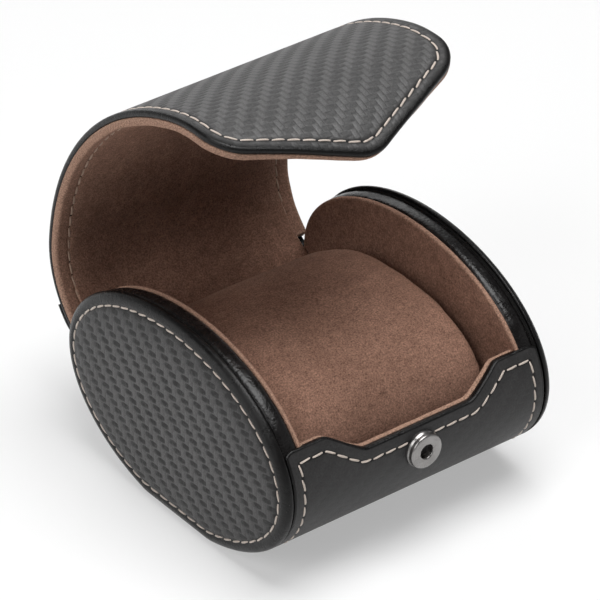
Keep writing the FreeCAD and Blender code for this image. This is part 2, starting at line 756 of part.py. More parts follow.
make_end("left", -1)
make_end("right", 1)
make_barrel()
make_lid()
make_tongue()
make_cushion()
doc.recompute()

for item in doc.Objects:
    if "Invalid" in item.State or "Error" in item.State:
        raise RuntimeError(f"{item.Name} failed: {item.State}")
for node, item in nodes.items():
    if item.Shape.isNull() or not item.Shape.isValid() or not item.Shape.Solids:
        raise RuntimeError(f"{node} has no valid solid")

os.makedirs("parts", exist_ok=True)
for node, item in nodes.items():
    item.Shape.exportStep(f"parts/{node}.step")
    print(node, len(item.Shape.Solids), round(item.Shape.Volume, 1))
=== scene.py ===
import json
from bisect import bisect
from math import acos, asin, atan2, copysign, cos, dist, exp, hypot, pi, radians, sin, sqrt, tan

import bmesh
import bpy
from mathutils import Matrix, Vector, noise


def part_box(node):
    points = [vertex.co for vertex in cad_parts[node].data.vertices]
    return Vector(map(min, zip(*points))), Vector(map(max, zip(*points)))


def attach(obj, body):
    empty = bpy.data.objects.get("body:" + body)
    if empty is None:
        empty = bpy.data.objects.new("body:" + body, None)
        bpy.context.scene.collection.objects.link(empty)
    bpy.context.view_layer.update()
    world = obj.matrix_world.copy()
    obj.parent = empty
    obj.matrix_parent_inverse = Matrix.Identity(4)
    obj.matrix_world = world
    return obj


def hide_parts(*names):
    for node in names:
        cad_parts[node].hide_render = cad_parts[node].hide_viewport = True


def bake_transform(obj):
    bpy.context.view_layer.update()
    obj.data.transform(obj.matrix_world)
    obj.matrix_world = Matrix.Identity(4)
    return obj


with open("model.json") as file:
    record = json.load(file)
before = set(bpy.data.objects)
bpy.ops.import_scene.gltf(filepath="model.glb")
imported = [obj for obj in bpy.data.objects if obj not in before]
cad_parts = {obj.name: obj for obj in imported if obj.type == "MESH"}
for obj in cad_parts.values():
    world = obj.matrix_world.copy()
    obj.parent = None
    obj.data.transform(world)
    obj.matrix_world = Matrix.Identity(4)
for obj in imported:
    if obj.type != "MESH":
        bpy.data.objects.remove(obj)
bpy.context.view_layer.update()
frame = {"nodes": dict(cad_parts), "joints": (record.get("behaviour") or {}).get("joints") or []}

# Oval travel case for one watch. Lengths here are millimetres; meshes are made in metres.
mm = 0.001
scene = bpy.context.scene
nodes = frame["nodes"]
print("frame loaded,", len(nodes), "nodes")


# Sizes read off the frame

def corners(node):
    return [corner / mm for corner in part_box(node)]


discLow, discHigh = corners("right_end_cover")
bandLow, bandHigh = corners("right_rim_band")
endLow, endHigh = corners("right_end_lining")
snapLow, snapHigh = corners("snap_socket")
coverHigh = corners("barrel_cover")[1]
lidHigh = corners("lid_cover")[1]
joints = {joint["name"]: joint for joint in frame["joints"]}
hingeY, hingeZ = (value / mm for value in joints["lid_hinge"]["pos_m"][1:])

faceX = discHigh.x          # outer face of an end disc
discX = discLow.x           # inner face of an end disc
panelHalf = bandHigh.x      # half width of the front panel
flapHalf = lidHigh.x        # half width of the lid
rimX = bandLow.x            # inner edge of the rim band
innerX = endLow.x           # inner face of the suede on an end
halfDepth = discHigh.y      # the oval's half axes and middle
midHeight = (snapLow.z + snapHigh.z) / 2
halfRound = discHigh.z - midHeight
leather = discHigh.z - bandHigh.z
layers = {"board": 1.1, "suede": 1.6}
shell = leather + layers["board"]
sheet = shell + layers["suede"]
halfSheet = sheet / 2
hair = 0.03                 # keeps two sheets from sharing a face


# Shader maths: a wrapped socket, so that a sum of sockets reads as a sum

class Shade:
    def __init__(self, tree, socket=None):
        self.tree = tree
        self.socket = socket

    def add(self, kind, settings=None, inputs=None, out=0):
        node = self.tree.nodes.new(kind)
        for key, value in (settings or {}).items():
            setattr(node, key, value)
        for key, value in (inputs or {}).items():
            if isinstance(value, Shade):
                self.tree.links.new(value.socket, node.inputs[key])
            else:
                node.inputs[key].default_value = value
        return Shade(self.tree, node.outputs[out]) if node.outputs else node

    def output(self, out):
        return Shade(self.tree, self.socket.node.outputs[out])

    def maths(self, operation, first, second=0.0):
        return self.add("ShaderNodeMath", {"operation": operation}, {0: first, 1: second})

    def forward(operation):
        return lambda self, other: self.maths(operation, self, other)

    def reflected(operation):
        return lambda self, other: self.maths(operation, other, self)

    __add__, __radd__ = forward("ADD"), reflected("ADD")
    __sub__, __rsub__ = forward("SUBTRACT"), reflected("SUBTRACT")
    __mul__, __rmul__ = forward("MULTIPLY"), reflected("MULTIPLY")
    __truediv__, __rtruediv__ = forward("DIVIDE"), reflected("DIVIDE")
    __mod__, __rmod__ = forward("FLOORED_MODULO"), reflected("FLOORED_MODULO")
    __pow__, __rpow__ = forward("POWER"), reflected("POWER")
    __gt__ = forward("GREATER_THAN")

    def floor(self):
        return self.maths("FLOOR", self)

    def size(self):
        return self.maths("ABSOLUTE", self)

    def mix(self, first, second):
        return self.add("ShaderNodeMix", {"data_type": "RGBA"}, {0: self, 6: first, 7: second}, out=2)

    def tint(self, value):
        settings = {"data_type": "RGBA", "blend_type": "MULTIPLY"}
        return self.add("ShaderNodeMix", settings, {0: 1.0, 6: self, 7: value}, out=2)

    def split(self):
        parts = self.add("ShaderNodeSeparateXYZ", {}, {0: self})
        return [parts.output(index) for index in range(3)]


def linear(red, green, blue):
    # display values 0 to 255 as linear light, with full alpha
    def one(value):
        value /= 255
        return value / 12.92 if value <= 0.04045 else ((value + 0.055) / 1.055) ** 2.4
    return (one(red), one(green), one(blue), 1.0)


def newFinish(name):
    material = bpy.data.materials.new(name)
    material.use_nodes = True
    material.node_tree.nodes.clear()
    return material, Shade(material.node_tree)


def principled(shade, inputs):
    return shade.add("ShaderNodeBsdfPrincipled", {}, inputs)


def finished(material, shade, look):
    # look is a shader, or the sockets of a Principled BSDF
    shader = principled(shade, look) if isinstance(look, dict) else look
    shade.add("ShaderNodeOutputMaterial", {}, {"Surface": shader})
    return material


def place3d(shade):
    return shade.add("ShaderNodeTexCoord", {}, {}, out=3)


def flatPlace(shade):
    return shade.add("ShaderNodeUVMap", {"uv_map": "flat"}).split()


def edgeAndShadeMark(shade):
    return shade.add("ShaderNodeAttribute", {"attribute_name": "edge"}, {}, out=2)


def grain(shade, where, scale, detail=3.0, rough=0.55):
    inputs = {"Vector": where, "Scale": scale, "Detail": detail, "Roughness": rough}
    return shade.add("ShaderNodeTexNoise", {}, inputs)


def cells(shade, where, scale):
    return shade.add("ShaderNodeTexVoronoi", {}, {"Vector": where, "Scale": scale})


def bumped(shade, height, strength, distance):
    inputs = {"Height": height, "Strength": strength, "Distance": distance * mm}
    return shade.add("ShaderNodeBump", {}, inputs)


# Finishes. A grain is the scale, detail and roughness of a noise; a bump is its strength and height.

weave = {
    "dashLong": 1.02,               # share of its two cells that a dash fills
    "dashWide": 1.06,
    "lean": 0.22,
    "warp": linear(77, 76, 76),
    "weft": linear(11, 10, 10),
    # colour where the twill hardly shows, as on the front panel, darkened there as painted shade
    "plainWithPaintedShade": linear(31, 30, 30),
    "roughness": 0.5,
    "margin": linear(12, 11, 11),   # bare black leather on turned edges, and painted shade in seam grooves and inside the disc seams
    "marginShine": 0.22,
    "marginRoughness": 0.3,
    "wear": (1100.0, 3.0, 0.7),
    "fine": (2300.0, 3.0, 0.7),
    "broad": (60.0,),
    "creases": (420.0, 4.0, 0.6),
    "bump": (0.7, 0.14),
}
# cell is one thread of the embossed twill, strength how much of the twill shows; then how dark its
# cross threads are, partly the twill's pattern and partly a painted difference in how the two thread
# directions reflect, and how much painted shade lies in the creases round each thread. The three are
# copies of one leather, set apart to paint the light and shade that fall on the lid and the panel
twills = {
    "disc": {"cell": 1.58, "strength": 0.95, "dashPatternAndShade": 1.0, "grooveShade": 0.06, "shine": 0.35},
    "lid": {"cell": 1.5, "strength": 0.95, "dashPatternAndShade": 0.5, "grooveShade": 0.45, "shine": 0.6},
    "panel": {"cell": 1.55, "strength": 0.16, "dashPatternAndShade": 0.3, "grooveShade": 0.2, "shine": 0.35},
}


def weaveLeather(name, cell, strength, dashPatternAndShade, grooveShade, shine):
    material, shade = newFinish(name)
    across, along, _ = flatPlace(shade)
    a = across / (cell * mm)
    b = along / (cell * mm)
    aPart = a % 1.0
    bPart = b % 1.0
    step = (a.floor() + b.floor()) % 4.0
    weft = step > 1.5
    warpRun = (step + bPart) - 1.0
    weftRun = (step + aPart) - 3.0
    run = (weft * weftRun + (1.0 - weft) * warpRun).size()
    side = ((weft * bPart + (1.0 - weft) * aPart) * 2.0 - 1.0).size()
    dome = (1.0 - side ** 2.6) * (1.0 - run ** 5.0)
    sideways = ((bPart * 2.0 - 1.0 - weftRun * weave["lean"]) / weave["dashWide"]).size()
    reach = (weftRun / weave["dashLong"]).size() ** 3.0 + sideways ** 3.0
    where = place3d(shade)
    wear = grain(shade, where, *weave["wear"]) * 2.4 - 0.2
    spot = weft * shade.maths("MAXIMUM", 1.0 - reach, 0.0) ** 0.5 * wear
    # the edge mark: bare leather on turned edges and painted shade along the seams; where it is high,
    # the dark glossy shader replaces the twill
    margin = edgeAndShadeMark(shade)
    shown = strength * (1.0 - margin)
    fine = grain(shade, where, *weave["fine"])
    broad = grain(shade, where, *weave["broad"])
    # dark dashes, partly pattern and partly painted reflection, and painted shade in the creases between
    # threads
    threads = (spot * dashPatternAndShade + (1.0 - dome) * grooveShade).mix(weave["warp"], weave["weft"])
    colour = shown.mix(weave["plainWithPaintedShade"], threads)
    creases = grain(shade, where, *weave["creases"])
    height = (dome * 0.8 - spot * 0.3) * shown + fine * 0.9 + creases * margin * 1.5
    normal = bumped(shade, height, *weave["bump"])
    woven = principled(shade, {
        "Base Color": colour.tint(fine * 2.4 + broad * 0.5 - 0.45),
        "Roughness": weave["roughness"] + (fine - 0.5) * 0.3 + spot * shown * 0.12,
        "Specular IOR Level": shine,
        "Normal": normal,
    })
    # dark glossy leather: the real turned edges, and painted shade in the seam grooves
    bare = principled(shade, {
        "Base Color": weave["margin"],
        "Roughness": weave["marginRoughness"] + (creases - 0.5) * 0.3,
        "Specular IOR Level": weave["marginShine"],
        "Normal": normal,
    })
    both = shade.add("ShaderNodeMixShader", {}, {0: margin, 1: woven, 2: bare})
    return finished(material, shade, both)


gloss = {
    "colour": linear(8, 7, 7),
    "worn": linear(28, 26, 26),
    "roughness": 0.27,
    "shine": 0.28,
    "wrinkles": (420.0, 5.0, 0.6),
    "pores": 1500.0,
    "broad": (90.0,),
    "bump": (0.5, 0.4),
}


def smoothLeather():
    material, shade = newFinish("smoothLeather")
    where = place3d(shade)
    wrinkle = grain(shade, where, *gloss["wrinkles"])
    pores = cells(shade, where, gloss["pores"])
    broad = grain(shade, where, *gloss["broad"])
    return finished(material, shade, {
        "Base Color": (wrinkle * broad * 1.6).mix(gloss["colour"], gloss["worn"]),
        "Roughness": gloss["roughness"] + (wrinkle - 0.5) * 0.3,
        "Specular IOR Level": gloss["shine"],
        "Normal": bumped(shade, wrinkle * 0.8 + pores * 0.2, *gloss["bump"]),
    })


nap = {
    "dark": linear(100, 73, 60),
    "light": linear(156, 120, 103),
    "cut": linear(162, 131, 113),
    "sheen": 0.12,
    "sheenTint": linear(214, 180, 158),
    "brushed": (70.0, 4.0, 0.6),
    "fibre": (2500.0, 2.0, 0.7),
    "tuft": (420.0, 4.0, 0.65),
    "bump": (0.7, 0.35),
}


def suedeNap(name, tone):
    material, shade = newFinish(name)
    where = place3d(shade)
    brushed = grain(shade, where, *nap["brushed"])
    fibre = grain(shade, where, *nap["fibre"])
    tuft = grain(shade, where, *nap["tuft"])
    patch = (brushed * 0.5 + tuft * 0.5 - 0.5) * 1.7 + 0.5 + tone
    colour = patch.mix(nap["dark"], nap["light"])
    edged = (edgeAndShadeMark(shade) * 0.8).mix(colour, nap["cut"])
    return finished(material, shade, {
        "Base Color": edged.tint(fibre * 2.6 - 0.3),
        "Roughness": 0.95,
        "Specular IOR Level": 0.15,
        "Sheen Weight": nap["sheen"],
        "Sheen Roughness": 0.5,
        "Sheen Tint": nap["sheenTint"],
        "Normal": bumped(shade, fibre * 0.7 + tuft * 0.3, *nap["bump"]),
    })


twist = {"plies": 2600.0, "wind": 4.0, "fuzz": (1800.0,), "bump": (0.4, 0.08)}


def threadFinish(name, dark, light):
    material, shade = newFinish(name)
    across, along, _ = flatPlace(shade)
    ply = ((along * twist["plies"] + across * twist["wind"]) % 1.0 - 0.5).size() * 2.0
    fuzz = grain(shade, place3d(shade), *twist["fuzz"])
    return finished(material, shade, {
        "Base Color": (ply * 0.7 + fuzz * 0.4).mix(dark, light),
        "Roughness": 0.75,
        "Sheen Weight": 0.2,
        "Normal": bumped(shade, ply, *twist["bump"]),
    })


plating = {
    "dark": linear(118, 116, 115),
    "light": linear(160, 158, 156),
    "smear": (300.0, 4.0),
    "pits": (2400.0, 2.0),
    "bump": (0.12, 0.05),
}


def plated():
    material, shade = newFinish("snapMetal")
    where = place3d(shade)
    smear = grain(shade, where, *plating["smear"])
    pits = grain(shade, where, *plating["pits"])
    return finished(material, shade, {
        "Base Color": smear.mix(plating["dark"], plating["light"]),
        "Metallic": 1.0,
        "Roughness": 0.2 + smear * 0.16,
        "Normal": bumped(shade, pits, *plating["bump"]),
    })


fibres = {"fleck": (900.0, 4.0, 0.7), "bump": (0.4, 0.1)}


def fibreBoard(name, dark, light):
    material, shade = newFinish(name)
    fleck = grain(shade, place3d(shade), *fibres["fleck"])
    return finished(material, shade, {
        "Base Color": fleck.mix(dark, light),
        "Roughness": 0.9,
        "Normal": bumped(shade, fleck, *fibres["bump"]),
    })


foam = {
    "wall": linear(222, 214, 190),
    "hollow": linear(180, 170, 146),
    "cells": 1400.0,
    "bump": (0.5, 0.2),
}


def foamCells():
    material, shade = newFinish("paddingFoam")
    bubbles = cells(shade, place3d(shade), foam["cells"])
    return finished(material, shade, {
        "Base Color": bubbles.mix(foam["wall"], foam["hollow"]),
        "Roughness": 0.95,
        "Normal": bumped(shade, bubbles, *foam["bump"]),
    })


finishes = {kind: weaveLeather(f"{kind}Weave", **look) for kind, look in twills.items()}
finishes |= {
    "smooth": smoothLeather(),
    "suede": suedeNap("liningSuede", tone=0.0),
    # the cushion's suede is the lining's suede made lighter: painted light on the cushion
    "cushion": suedeNap("cushionSuede", tone=0.12),
    "cream": threadFinish("creamThread", linear(152, 138, 127), linear(226, 213, 202)),
    "tan": threadFinish("tanThread", linear(128, 102, 86), linear(190, 163, 142)),
    "metal": plated(),
    "board": fibreBoard("greyBoard", linear(120, 108, 92), linear(160, 148, 130)),
    "core": fibreBoard("blackBoard", linear(22, 21, 21), linear(40, 38, 37)),
    "hole": fibreBoard("needleHoleShade", linear(6, 6, 6), linear(16, 15, 15)),
    "foam": foamCells(),
}
print("finishes made:", len(finishes))


# Mesh helpers. A spot is a point, its place on the flat sheet and its edge mark;
# the edge mark holds bare and cut edges, and painted shade along seams.

def meshObject(name, points, faces, scale):
    mesh = bpy.data.meshes.new(name)
    mesh.from_pydata([Vector(point) * scale for point in points], [], faces)
    mesh.polygons.foreach_set("use_smooth", [True] * len(mesh.polygons))
    obj = bpy.data.objects.new(name, mesh)
    scene.collection.objects.link(obj)
    return obj


def piece(name, spots, faces, finish, slot):
    obj = meshObject(name, [spot[0] for spot in spots], faces, mm)
    mesh = obj.data
    layer = mesh.uv_layers.new(name="flat")
    for loop in mesh.loops:
        across, along = spots[loop.vertex_index][1]
        layer.data[loop.index].uv = (across * mm, along * mm)
    # edge mark: bare and cut edges, and painted shade along the seams
    mark = mesh.attributes.new("edge", "FLOAT", "POINT")
    mark.data.foreach_set("value", [spot[2] for spot in spots])
    build = bmesh.new()
    build.from_mesh(mesh)
    bmesh.ops.recalc_face_normals(build, faces=build.faces)
    build.to_mesh(mesh)
    build.free()
    mesh.materials.append(finishes[finish])
    return obj


def between(first, second, share):
    return tuple(a + (b - a) * share for a, b in zip(first, second))


def clamp(value, low=0.0, high=1.0):
    return min(max(value, low), high)


def bell(distance, width):
    return exp(-((distance / width) ** 2))


def ripple(point, pitch, seed):
    return noise.noise(Vector((*point, seed)) / pitch)


def around(count):
    return [2 * pi * step / count for step in range(count)]


def quarter(steps):
    return [pi / 2 * step / steps for step in range(steps + 1)]


def putRing(spots, ring):
    # adds a ring and gives the numbers of its spots
    spots.extend(ring)
    return list(range(len(spots) - len(ring), len(spots)))


def ringAround(centre, first, second, count):
    # ellipse round centre with the half axes first and second
    return [centre + first * cos(turn) + second * sin(turn) for turn in around(count)]


def joinLoops(faces, loops):
    # quads between neighbouring rings; a ring may be one spot, repeated
    for first, second in zip(loops, loops[1:]):
        for index in range(len(first)):
            after = (index + 1) % len(first)
            quad = (first[index], first[after], second[after], second[index])
            faces.append(tuple(dict.fromkeys(quad)))


def level(value):
    return lambda u, v: value


flush = level(0.0)


def plate(name, edges, rows, inset, rings, place, under, finish, slot, relief=flush, seamShade=flush):
    # Closed plate: a face grid, rings round its rim, and an underside grid.
    # edges(inset) gives its top and bottom edge, drawn in by inset; the sides are straight.
    spots, faces = [], []

    def put(flat, depth, mark):
        spots.append((place(*flat, depth), flat, mark))
        return len(spots) - 1

    def grid(depthAt, markAt):
        top, bottom = edges(inset)
        made = []
        for share in rows:
            flatRow = [between(first, second, share) for first, second in zip(top, bottom)]
            made.append([put(flat, depthAt(*flat), markAt(*flat)) for flat in flatRow])
        for upper, lower in zip(made, made[1:]):
            for column in range(len(upper) - 1):
                faces.append((upper[column], upper[column + 1], lower[column + 1], lower[column]))
        right = [line[-1] for line in made[1:-1]]
        left = [line[0] for line in made[1:-1]]
        return made[0] + right + made[-1][::-1] + left[::-1]

    def ring(drawnIn, depth, mark):
        top, bottom = edges(drawnIn)
        right = [between(top[-1], bottom[-1], share) for share in rows[1:-1]]
        left = [between(top[0], bottom[0], share) for share in rows[1:-1]]
        flatLoop = top + right + bottom[::-1] + left[::-1]
        return [put(flat, depth(*flat) if callable(depth) else depth, mark) for flat in flatLoop]

    previous = grid(relief, seamShade)
    for drawnIn, depth, mark in rings:
        current = ring(drawnIn, depth, mark)
        joinLoops(faces, [previous, current])
        previous = current
    joinLoops(faces, [previous, grid(level(under), level(1.0))])
    return piece(name, spots, faces, finish, slot)


def roundOver(radius, steps=4):
    # quarter round as (inset, depth), from the face to the side
    return [(radius * (1 - sin(angle)), radius * (1 - cos(angle))) for angle in quarter(steps)]


def bareRings(*rings):
    # rings of a plate's edge, (inset, depth), fully marked as edge
    return [(inset, depth, 1.0) for inset, depth in rings]


def spread(low, high, step):
    count = max(1, round((high - low) / step))
    return [low + (high - low) * index / count for index in range(count + 1)]


def spreads(*runs):
    return [value for run in runs for value in spread(*run)]


def walk(line, pitch):
    # gives a function for the flat point at a distance, the line's length, and how many pitches it holds
    lengths = [0.0]
    for first, second in zip(line, line[1:]):
        lengths.append(lengths[-1] + dist(first, second))

    def at(distance):
        index = clamp(bisect(lengths, distance) - 1, 0, len(line) - 2)
        run = lengths[index + 1] - lengths[index]
        return between(line[index], line[index + 1], (distance - lengths[index]) / run if run else 0.0)

    return at, lengths[-1], max(1, round(lengths[-1] / pitch))


thread = {
    "pitch": 3.6,           # one stitch and the gap after it
    "gap": 0.14,
    "radius": 0.27,
    "flat": 0.8,            # height over width
    "ends": 0.55,           # share of the radius at a stitch's ends
    "plump": 0.4,           # powers of the bow: how soon it is at full width, and at full height
    "tuck": 0.28,
    "proud": 0.12,
    "dip": 0.5,             # how far a stitch's ends go into the leather
    "slant": 0.08,
    "wander": 0.1,
    "hole": (0.42, 0.2),    # half width and half length of a needle hole's dark lens, painted shade
    "lens": (0.06, 0.3),    # how far a hole's lens stands over the leather and goes under it
    "rings": 11,
    "sides": 8,
}


def seat(place, at, distance, length):
    # spot on the surface under a seam, with its directions up, along and across
    near = 0.05
    flat = at(distance)
    ahead = at(min(distance + near, length))
    behind = at(max(distance - near, 0.0))
    centre = Vector(place(*flat, 0.0))
    up = (Vector(place(*flat, -1.0)) - centre).normalized()
    along = (Vector(place(*ahead, 0.0)) - Vector(place(*behind, 0.0))).normalized()
    return centre, up, along, up.cross(along).normalized()


def stitches(name, lines, place, finish="cream"):
    # one thread per line of flat points, each stitch a bowed capsule lying on the surface
    spots, faces, holes = [], [], []
    sides = thread["sides"]
    for line in lines:
        at, length, count = walk(line, thread["pitch"])
        pitch = length / count
        holes += [seat(place, at, number * pitch, length) for number in range(count + 1)]
        for number in range(count):
            low = number * pitch + thread["gap"] / 2
            lean = thread["slant"] + ripple((number, count), 1.7, 3.0) * thread["wander"]
            loops = []
            for index in range(thread["rings"]):
                share = index / (thread["rings"] - 1)
                distance = low + (pitch - thread["gap"]) * share
                centre, up, _, across = seat(place, at, distance, length)
                bow = sin(pi * share)
                full = thread["ends"] + (1 - thread["ends"]) * bow ** thread["plump"]
                swell = thread["radius"] * full
                rise = thread["proud"] - thread["dip"] * (1 - bow ** thread["tuck"])
                centre += up * rise + across * lean * (share - 0.5) * 4
                ring = ringAround(centre, across * swell, up * swell * thread["flat"], sides)
                flats = [(side / sides / mm, distance) for side in range(sides)]
                loops.append(putRing(spots, [(point, flat, 0.0) for point, flat in zip(ring, flats)]))
            joinLoops(faces, loops)
            faces += [loops[0], loops[-1]]
    sewn = len(faces)
    wide, long = thread["hole"]
    rise, sink = thread["lens"]
    # each needle hole is a near-black lens on the leather: painted shade in the hole
    for centre, up, along, across in holes:
        lens = ringAround(centre, across * wide, along * long, sides)
        lens += [centre + up * rise, centre - up * sink]
        *ring, crown, foot = putRing(spots, [(point, (0.0, 0.0), 0.0) for point in lens])
        for first, after in zip(ring, ring[1:] + ring[:1]):
            faces += [(first, after, crown), (after, first, foot)]
    made = piece(name, spots, faces, finish, "smooth_leather")
    made.data.materials.append(finishes["hole"])
    for face in made.data.polygons[sewn:]:
        face.material_index = 1
    return made


# The barrel's oval, walked from the middle of its front down and under to the back

ovalSteps = 2400
ovalAngles = [2 * pi * step / ovalSteps - pi / 2 for step in range(ovalSteps + 1)]
ovalArcs = [0.0]
for first, second in zip(ovalAngles, ovalAngles[1:]):
    middle = (first + second) / 2
    speed = hypot(halfDepth * sin(middle), halfRound * cos(middle))
    ovalArcs.append(ovalArcs[-1] + (second - first) * speed)
frontArc = ovalArcs[ovalSteps // 4]
ovalArcs = [arc - frontArc for arc in ovalArcs]


def lookUp(value, keys, results):
    index = clamp(bisect(keys, value) - 1, 0, len(keys) - 2)
    share = (value - keys[index]) / (keys[index + 1] - keys[index])
    return results[index] + (results[index + 1] - results[index]) * share


def arcAtFront(height):
    return lookUp(-asin((height - midHeight) / halfRound), ovalAngles, ovalArcs)


def arcAtBack(height):
    return lookUp(asin((height - midHeight) / halfRound) + pi, ovalAngles, ovalArcs)


def onOval(angle, depth):
    y = -(halfDepth - depth) * cos(angle)
    z = midHeight - (halfRound - depth) * sin(angle)
    return y, max(z, depth, 0.0)


def onBarrel(x, arc, depth):
    return (x, *onOval(lookUp(arc, ovalArcs, ovalAngles), depth))


# End discs, rims and their suede

disc = {
    "seam": 3.2,        # stitch line, in from the edge
    "groove": 0.3,      # how deep the seam draws the leather in, and how wide
    "grooveWide": 0.55,
    "drop": 0.4,        # the seam lies this much under the CAD face
    "pillow": 1.2,      # how far the padded face swells inside the seam
    "swell": 5.0,       # length over which it swells
    "fullness": 0.84,   # power that fills the rolled margin out beyond a quarter ellipse
    "foot": 0.1,        # the margin starts this much over the groove beside the rim
    "rollSteps": 14,
    "bare": ((0.6, 0.5), (0.38, 4.2)),      # darker glossy leather inside the seam, share and length: bare leather by the stitches, then a ring of painted shade
    "turns": 200,
    "round": 6.5,       # inside this inset the rings shrink evenly to the middle
}


def ovalPiece(name, profile, sign, finish, slot, capped):
    # rings of the oval at each (inset, x, edge mark); capped closes both ends, else the profile closes
    spots, faces, loops = [], [], []
    turns = disc["turns"]
    for inset, x, mark in profile:
        drawn = min(inset, disc["round"])
        shrink = (halfRound - inset) / (halfRound - drawn)
        ring = []
        for angle in around(turns):
            y, z = onOval(angle, drawn)
            y, z = y * shrink, midHeight + (z - midHeight) * shrink
            ring.append(((x * sign, y, z), (y * sign, z), mark))
        loops.append(putRing(spots, ring))
    joinLoops(faces, loops if capped else loops + loops[:1])
    if capped:
        for end in (0, -1):
            _, x, mark = profile[end]
            middle = putRing(spots, [((x * sign, 0.0, midHeight), (0.0, midHeight), mark)])
            joinLoops(faces, [loops[end], middle * turns])
    return piece(name, spots, faces, finish, slot)


def seamDip(inset):
    return disc["groove"] * bell(inset - disc["seam"], disc["grooveWide"])


def discHeight(inset):
    # padded face inside the seam, with the seam drawn in
    past = max(0.0, inset - disc["seam"])
    pillow = disc["pillow"] * (1 - exp(-past / disc["swell"]))
    return faceX - disc["drop"] + pillow - seamDip(inset)


def makeDisc(side, sign):
    # the margin rolls over from the seam to the groove beside the rim
    seam, foot = disc["seam"], disc["foot"]
    rise = faceX - disc["drop"] - discX
    roll = [(leather, discX, 1.0), (0.3, discX, 1.0)]
    for angle in quarter(disc["rollSteps"]):
        inset = seam * (1 - max(0.0, cos(angle)) ** disc["fullness"])
        lift = foot + (rise - foot) * sin(angle) ** disc["fullness"]
        roll.append((inset, discX + lift - seamDip(inset), 1.0))

    # painted shade inside the seam: darkest at the stitches, fading over a few millimetres into the face
    def mark(inset):
        return sum(share * exp((seam - inset) / length) for share, length in disc["bare"])

    insets = spreads(
        (seam + 0.2, seam + 2.0, 0.2), (seam + 2.5, seam + 7.0, 0.5), (seam + 8.0, halfRound - 0.6, 1.2),
    )
    face = [(inset, discHeight(inset), mark(inset)) for inset in insets]
    backX = faceX - leather - 0.1
    back = [(halfRound - 1.0, backX, 1.0), (leather, backX, 1.0)]
    cover = ovalPiece(f"{side}EndCover", back + roll + face, sign, "disc", "weave_leather", True)
    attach(cover, "case")
    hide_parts(f"{side}_end_cover")

    seamLine = []
    for step in range(disc["turns"] * 2 + 1):
        y, z = onOval(pi * step / disc["turns"], seam)
        seamLine.append((y * sign, z))
    seamX = discHeight(seam)

    def onFace(across, up, depth):
        return ((seamX - depth) * sign, across * sign, up)

    stitched = stitches(f"{side}DiscStitches", [seamLine], onFace)
    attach(stitched, "case")


rim = {
    "crown": 0.28,      # how far the band stands over its own edge leather
    "shoulder": 0.55,   # drop of the band's two edges
    "wrinkle": 0.07,
    "steps": 14,
    "tight": 0.02,      # the band lies this much over its solid
    "clear": (0.8, 3.0),    # crown and wrinkles start this far above the front panel and the hinge axis
    "fade": 3.0,        # and are full this much higher
}


def makeRim(side, sign):
    wide = panelHalf - rimX
    profile = []
    for index in range(rim["steps"] + 1):
        share = index / rim["steps"]
        inset = leather + rim["shoulder"] * (2 * share - 1) ** 4 - rim["tight"]
        profile.append((inset, rimX + wide * share, 0.0))
    profile += [(2 * leather - rim["tight"], x, 0.0) for x in (panelHalf, rimX)]
    band = ovalPiece(f"{side}RimBand", profile, sign, "smooth", "smooth_leather", False)
    frontClear, backClear = rim["clear"]
    for vertex in band.data.vertices:
        x, y, z = vertex.co / mm
        bareFrom = coverHigh.z + frontClear if y < 0 else hingeZ + backClear
        bare = clamp((z - bareFrom) / rim["fade"])
        share = (abs(x) - rimX) / wide
        over = max(0.0, 1 - (2 * share - 1) ** 2) * bare
        out = Vector((0.0, y / halfDepth**2, (z - midHeight) / halfRound**2)).normalized()
        rough = noise.noise(Vector((x * 0.8, y * 0.5, z * 0.5)))
        vertex.co += out * (rim["crown"] * over + rim["wrinkle"] * rough * bare) * mm
    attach(band, "case")
    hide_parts(f"{side}_rim_band")


endSuede = {
    "over": 0.1,        # how far the suede reaches up over the board's edge
    "soft": 0.45,
    "fade": 0.5,        # mark of the cut edge, which fades over this length
    "rings": (0.9, 1.6, 3.0, 6.0, 10.0, 15.0, 20.0, 24.0),
    "back": (24.0, 12.0),
}


def makeEndLining(side, sign):
    inset = leather - endSuede["over"]
    soft, fade = endSuede["soft"], endSuede["fade"]
    profile = [(grow, endHigh.x, 0.0) for grow in endSuede["back"]]
    profile += [(leather, endHigh.x, 0.6), (inset, endHigh.x - 0.2, 0.6), (inset, endLow.x + soft, 0.6)]
    profile += [(inset + grow, endLow.x + drop, fade) for grow, drop in reversed(roundOver(soft, 3))]
    profile += [(inset + grow, endLow.x, max(0.0, fade - grow)) for grow in endSuede["rings"]]
    lining = ovalPiece(f"{side}EndLining", profile, sign, "suede", "suede", True)
    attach(lining, "case")
    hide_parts(f"{side}_end_lining")


for side, sign in (("left", -1), ("right", 1)):
    makeDisc(side, sign)
    makeRim(side, sign)
    makeEndLining(side, sign)
print("ends made")


# Front panel and barrel wall

scoop = {
    "low": 33.2, "floor": 14.5, "mouth": 26.0, "round": 4.0,
    "corner": 34.4, "drop": 0.9,    # the panel falls off again towards its sides
    "tries": 24,
}
panel = {
    "seamTop": 3.3,     # stitch line below the scooped edge
    "seamSide": 2.9,    # stitch line in from the panel's sides
    "seamTail": 10.5,   # the side seams stop this far below the hinge
    "groove": 0.2,
    "grooveWide": 0.4,
    "bare": 0.85,       # painted shade in the seam groove
    "edgeRound": 0.75,
    "hem": 1.0,
    "hemRound": 0.45,
    "sideSteps": [0.75, 1.2, 1.7, 2.1, 2.4, 2.65, 2.9, 3.15, 3.4, 3.7, 4.2, 5.0],
    "columnStep": 0.9,
}
scoopHigh = coverHigh.z


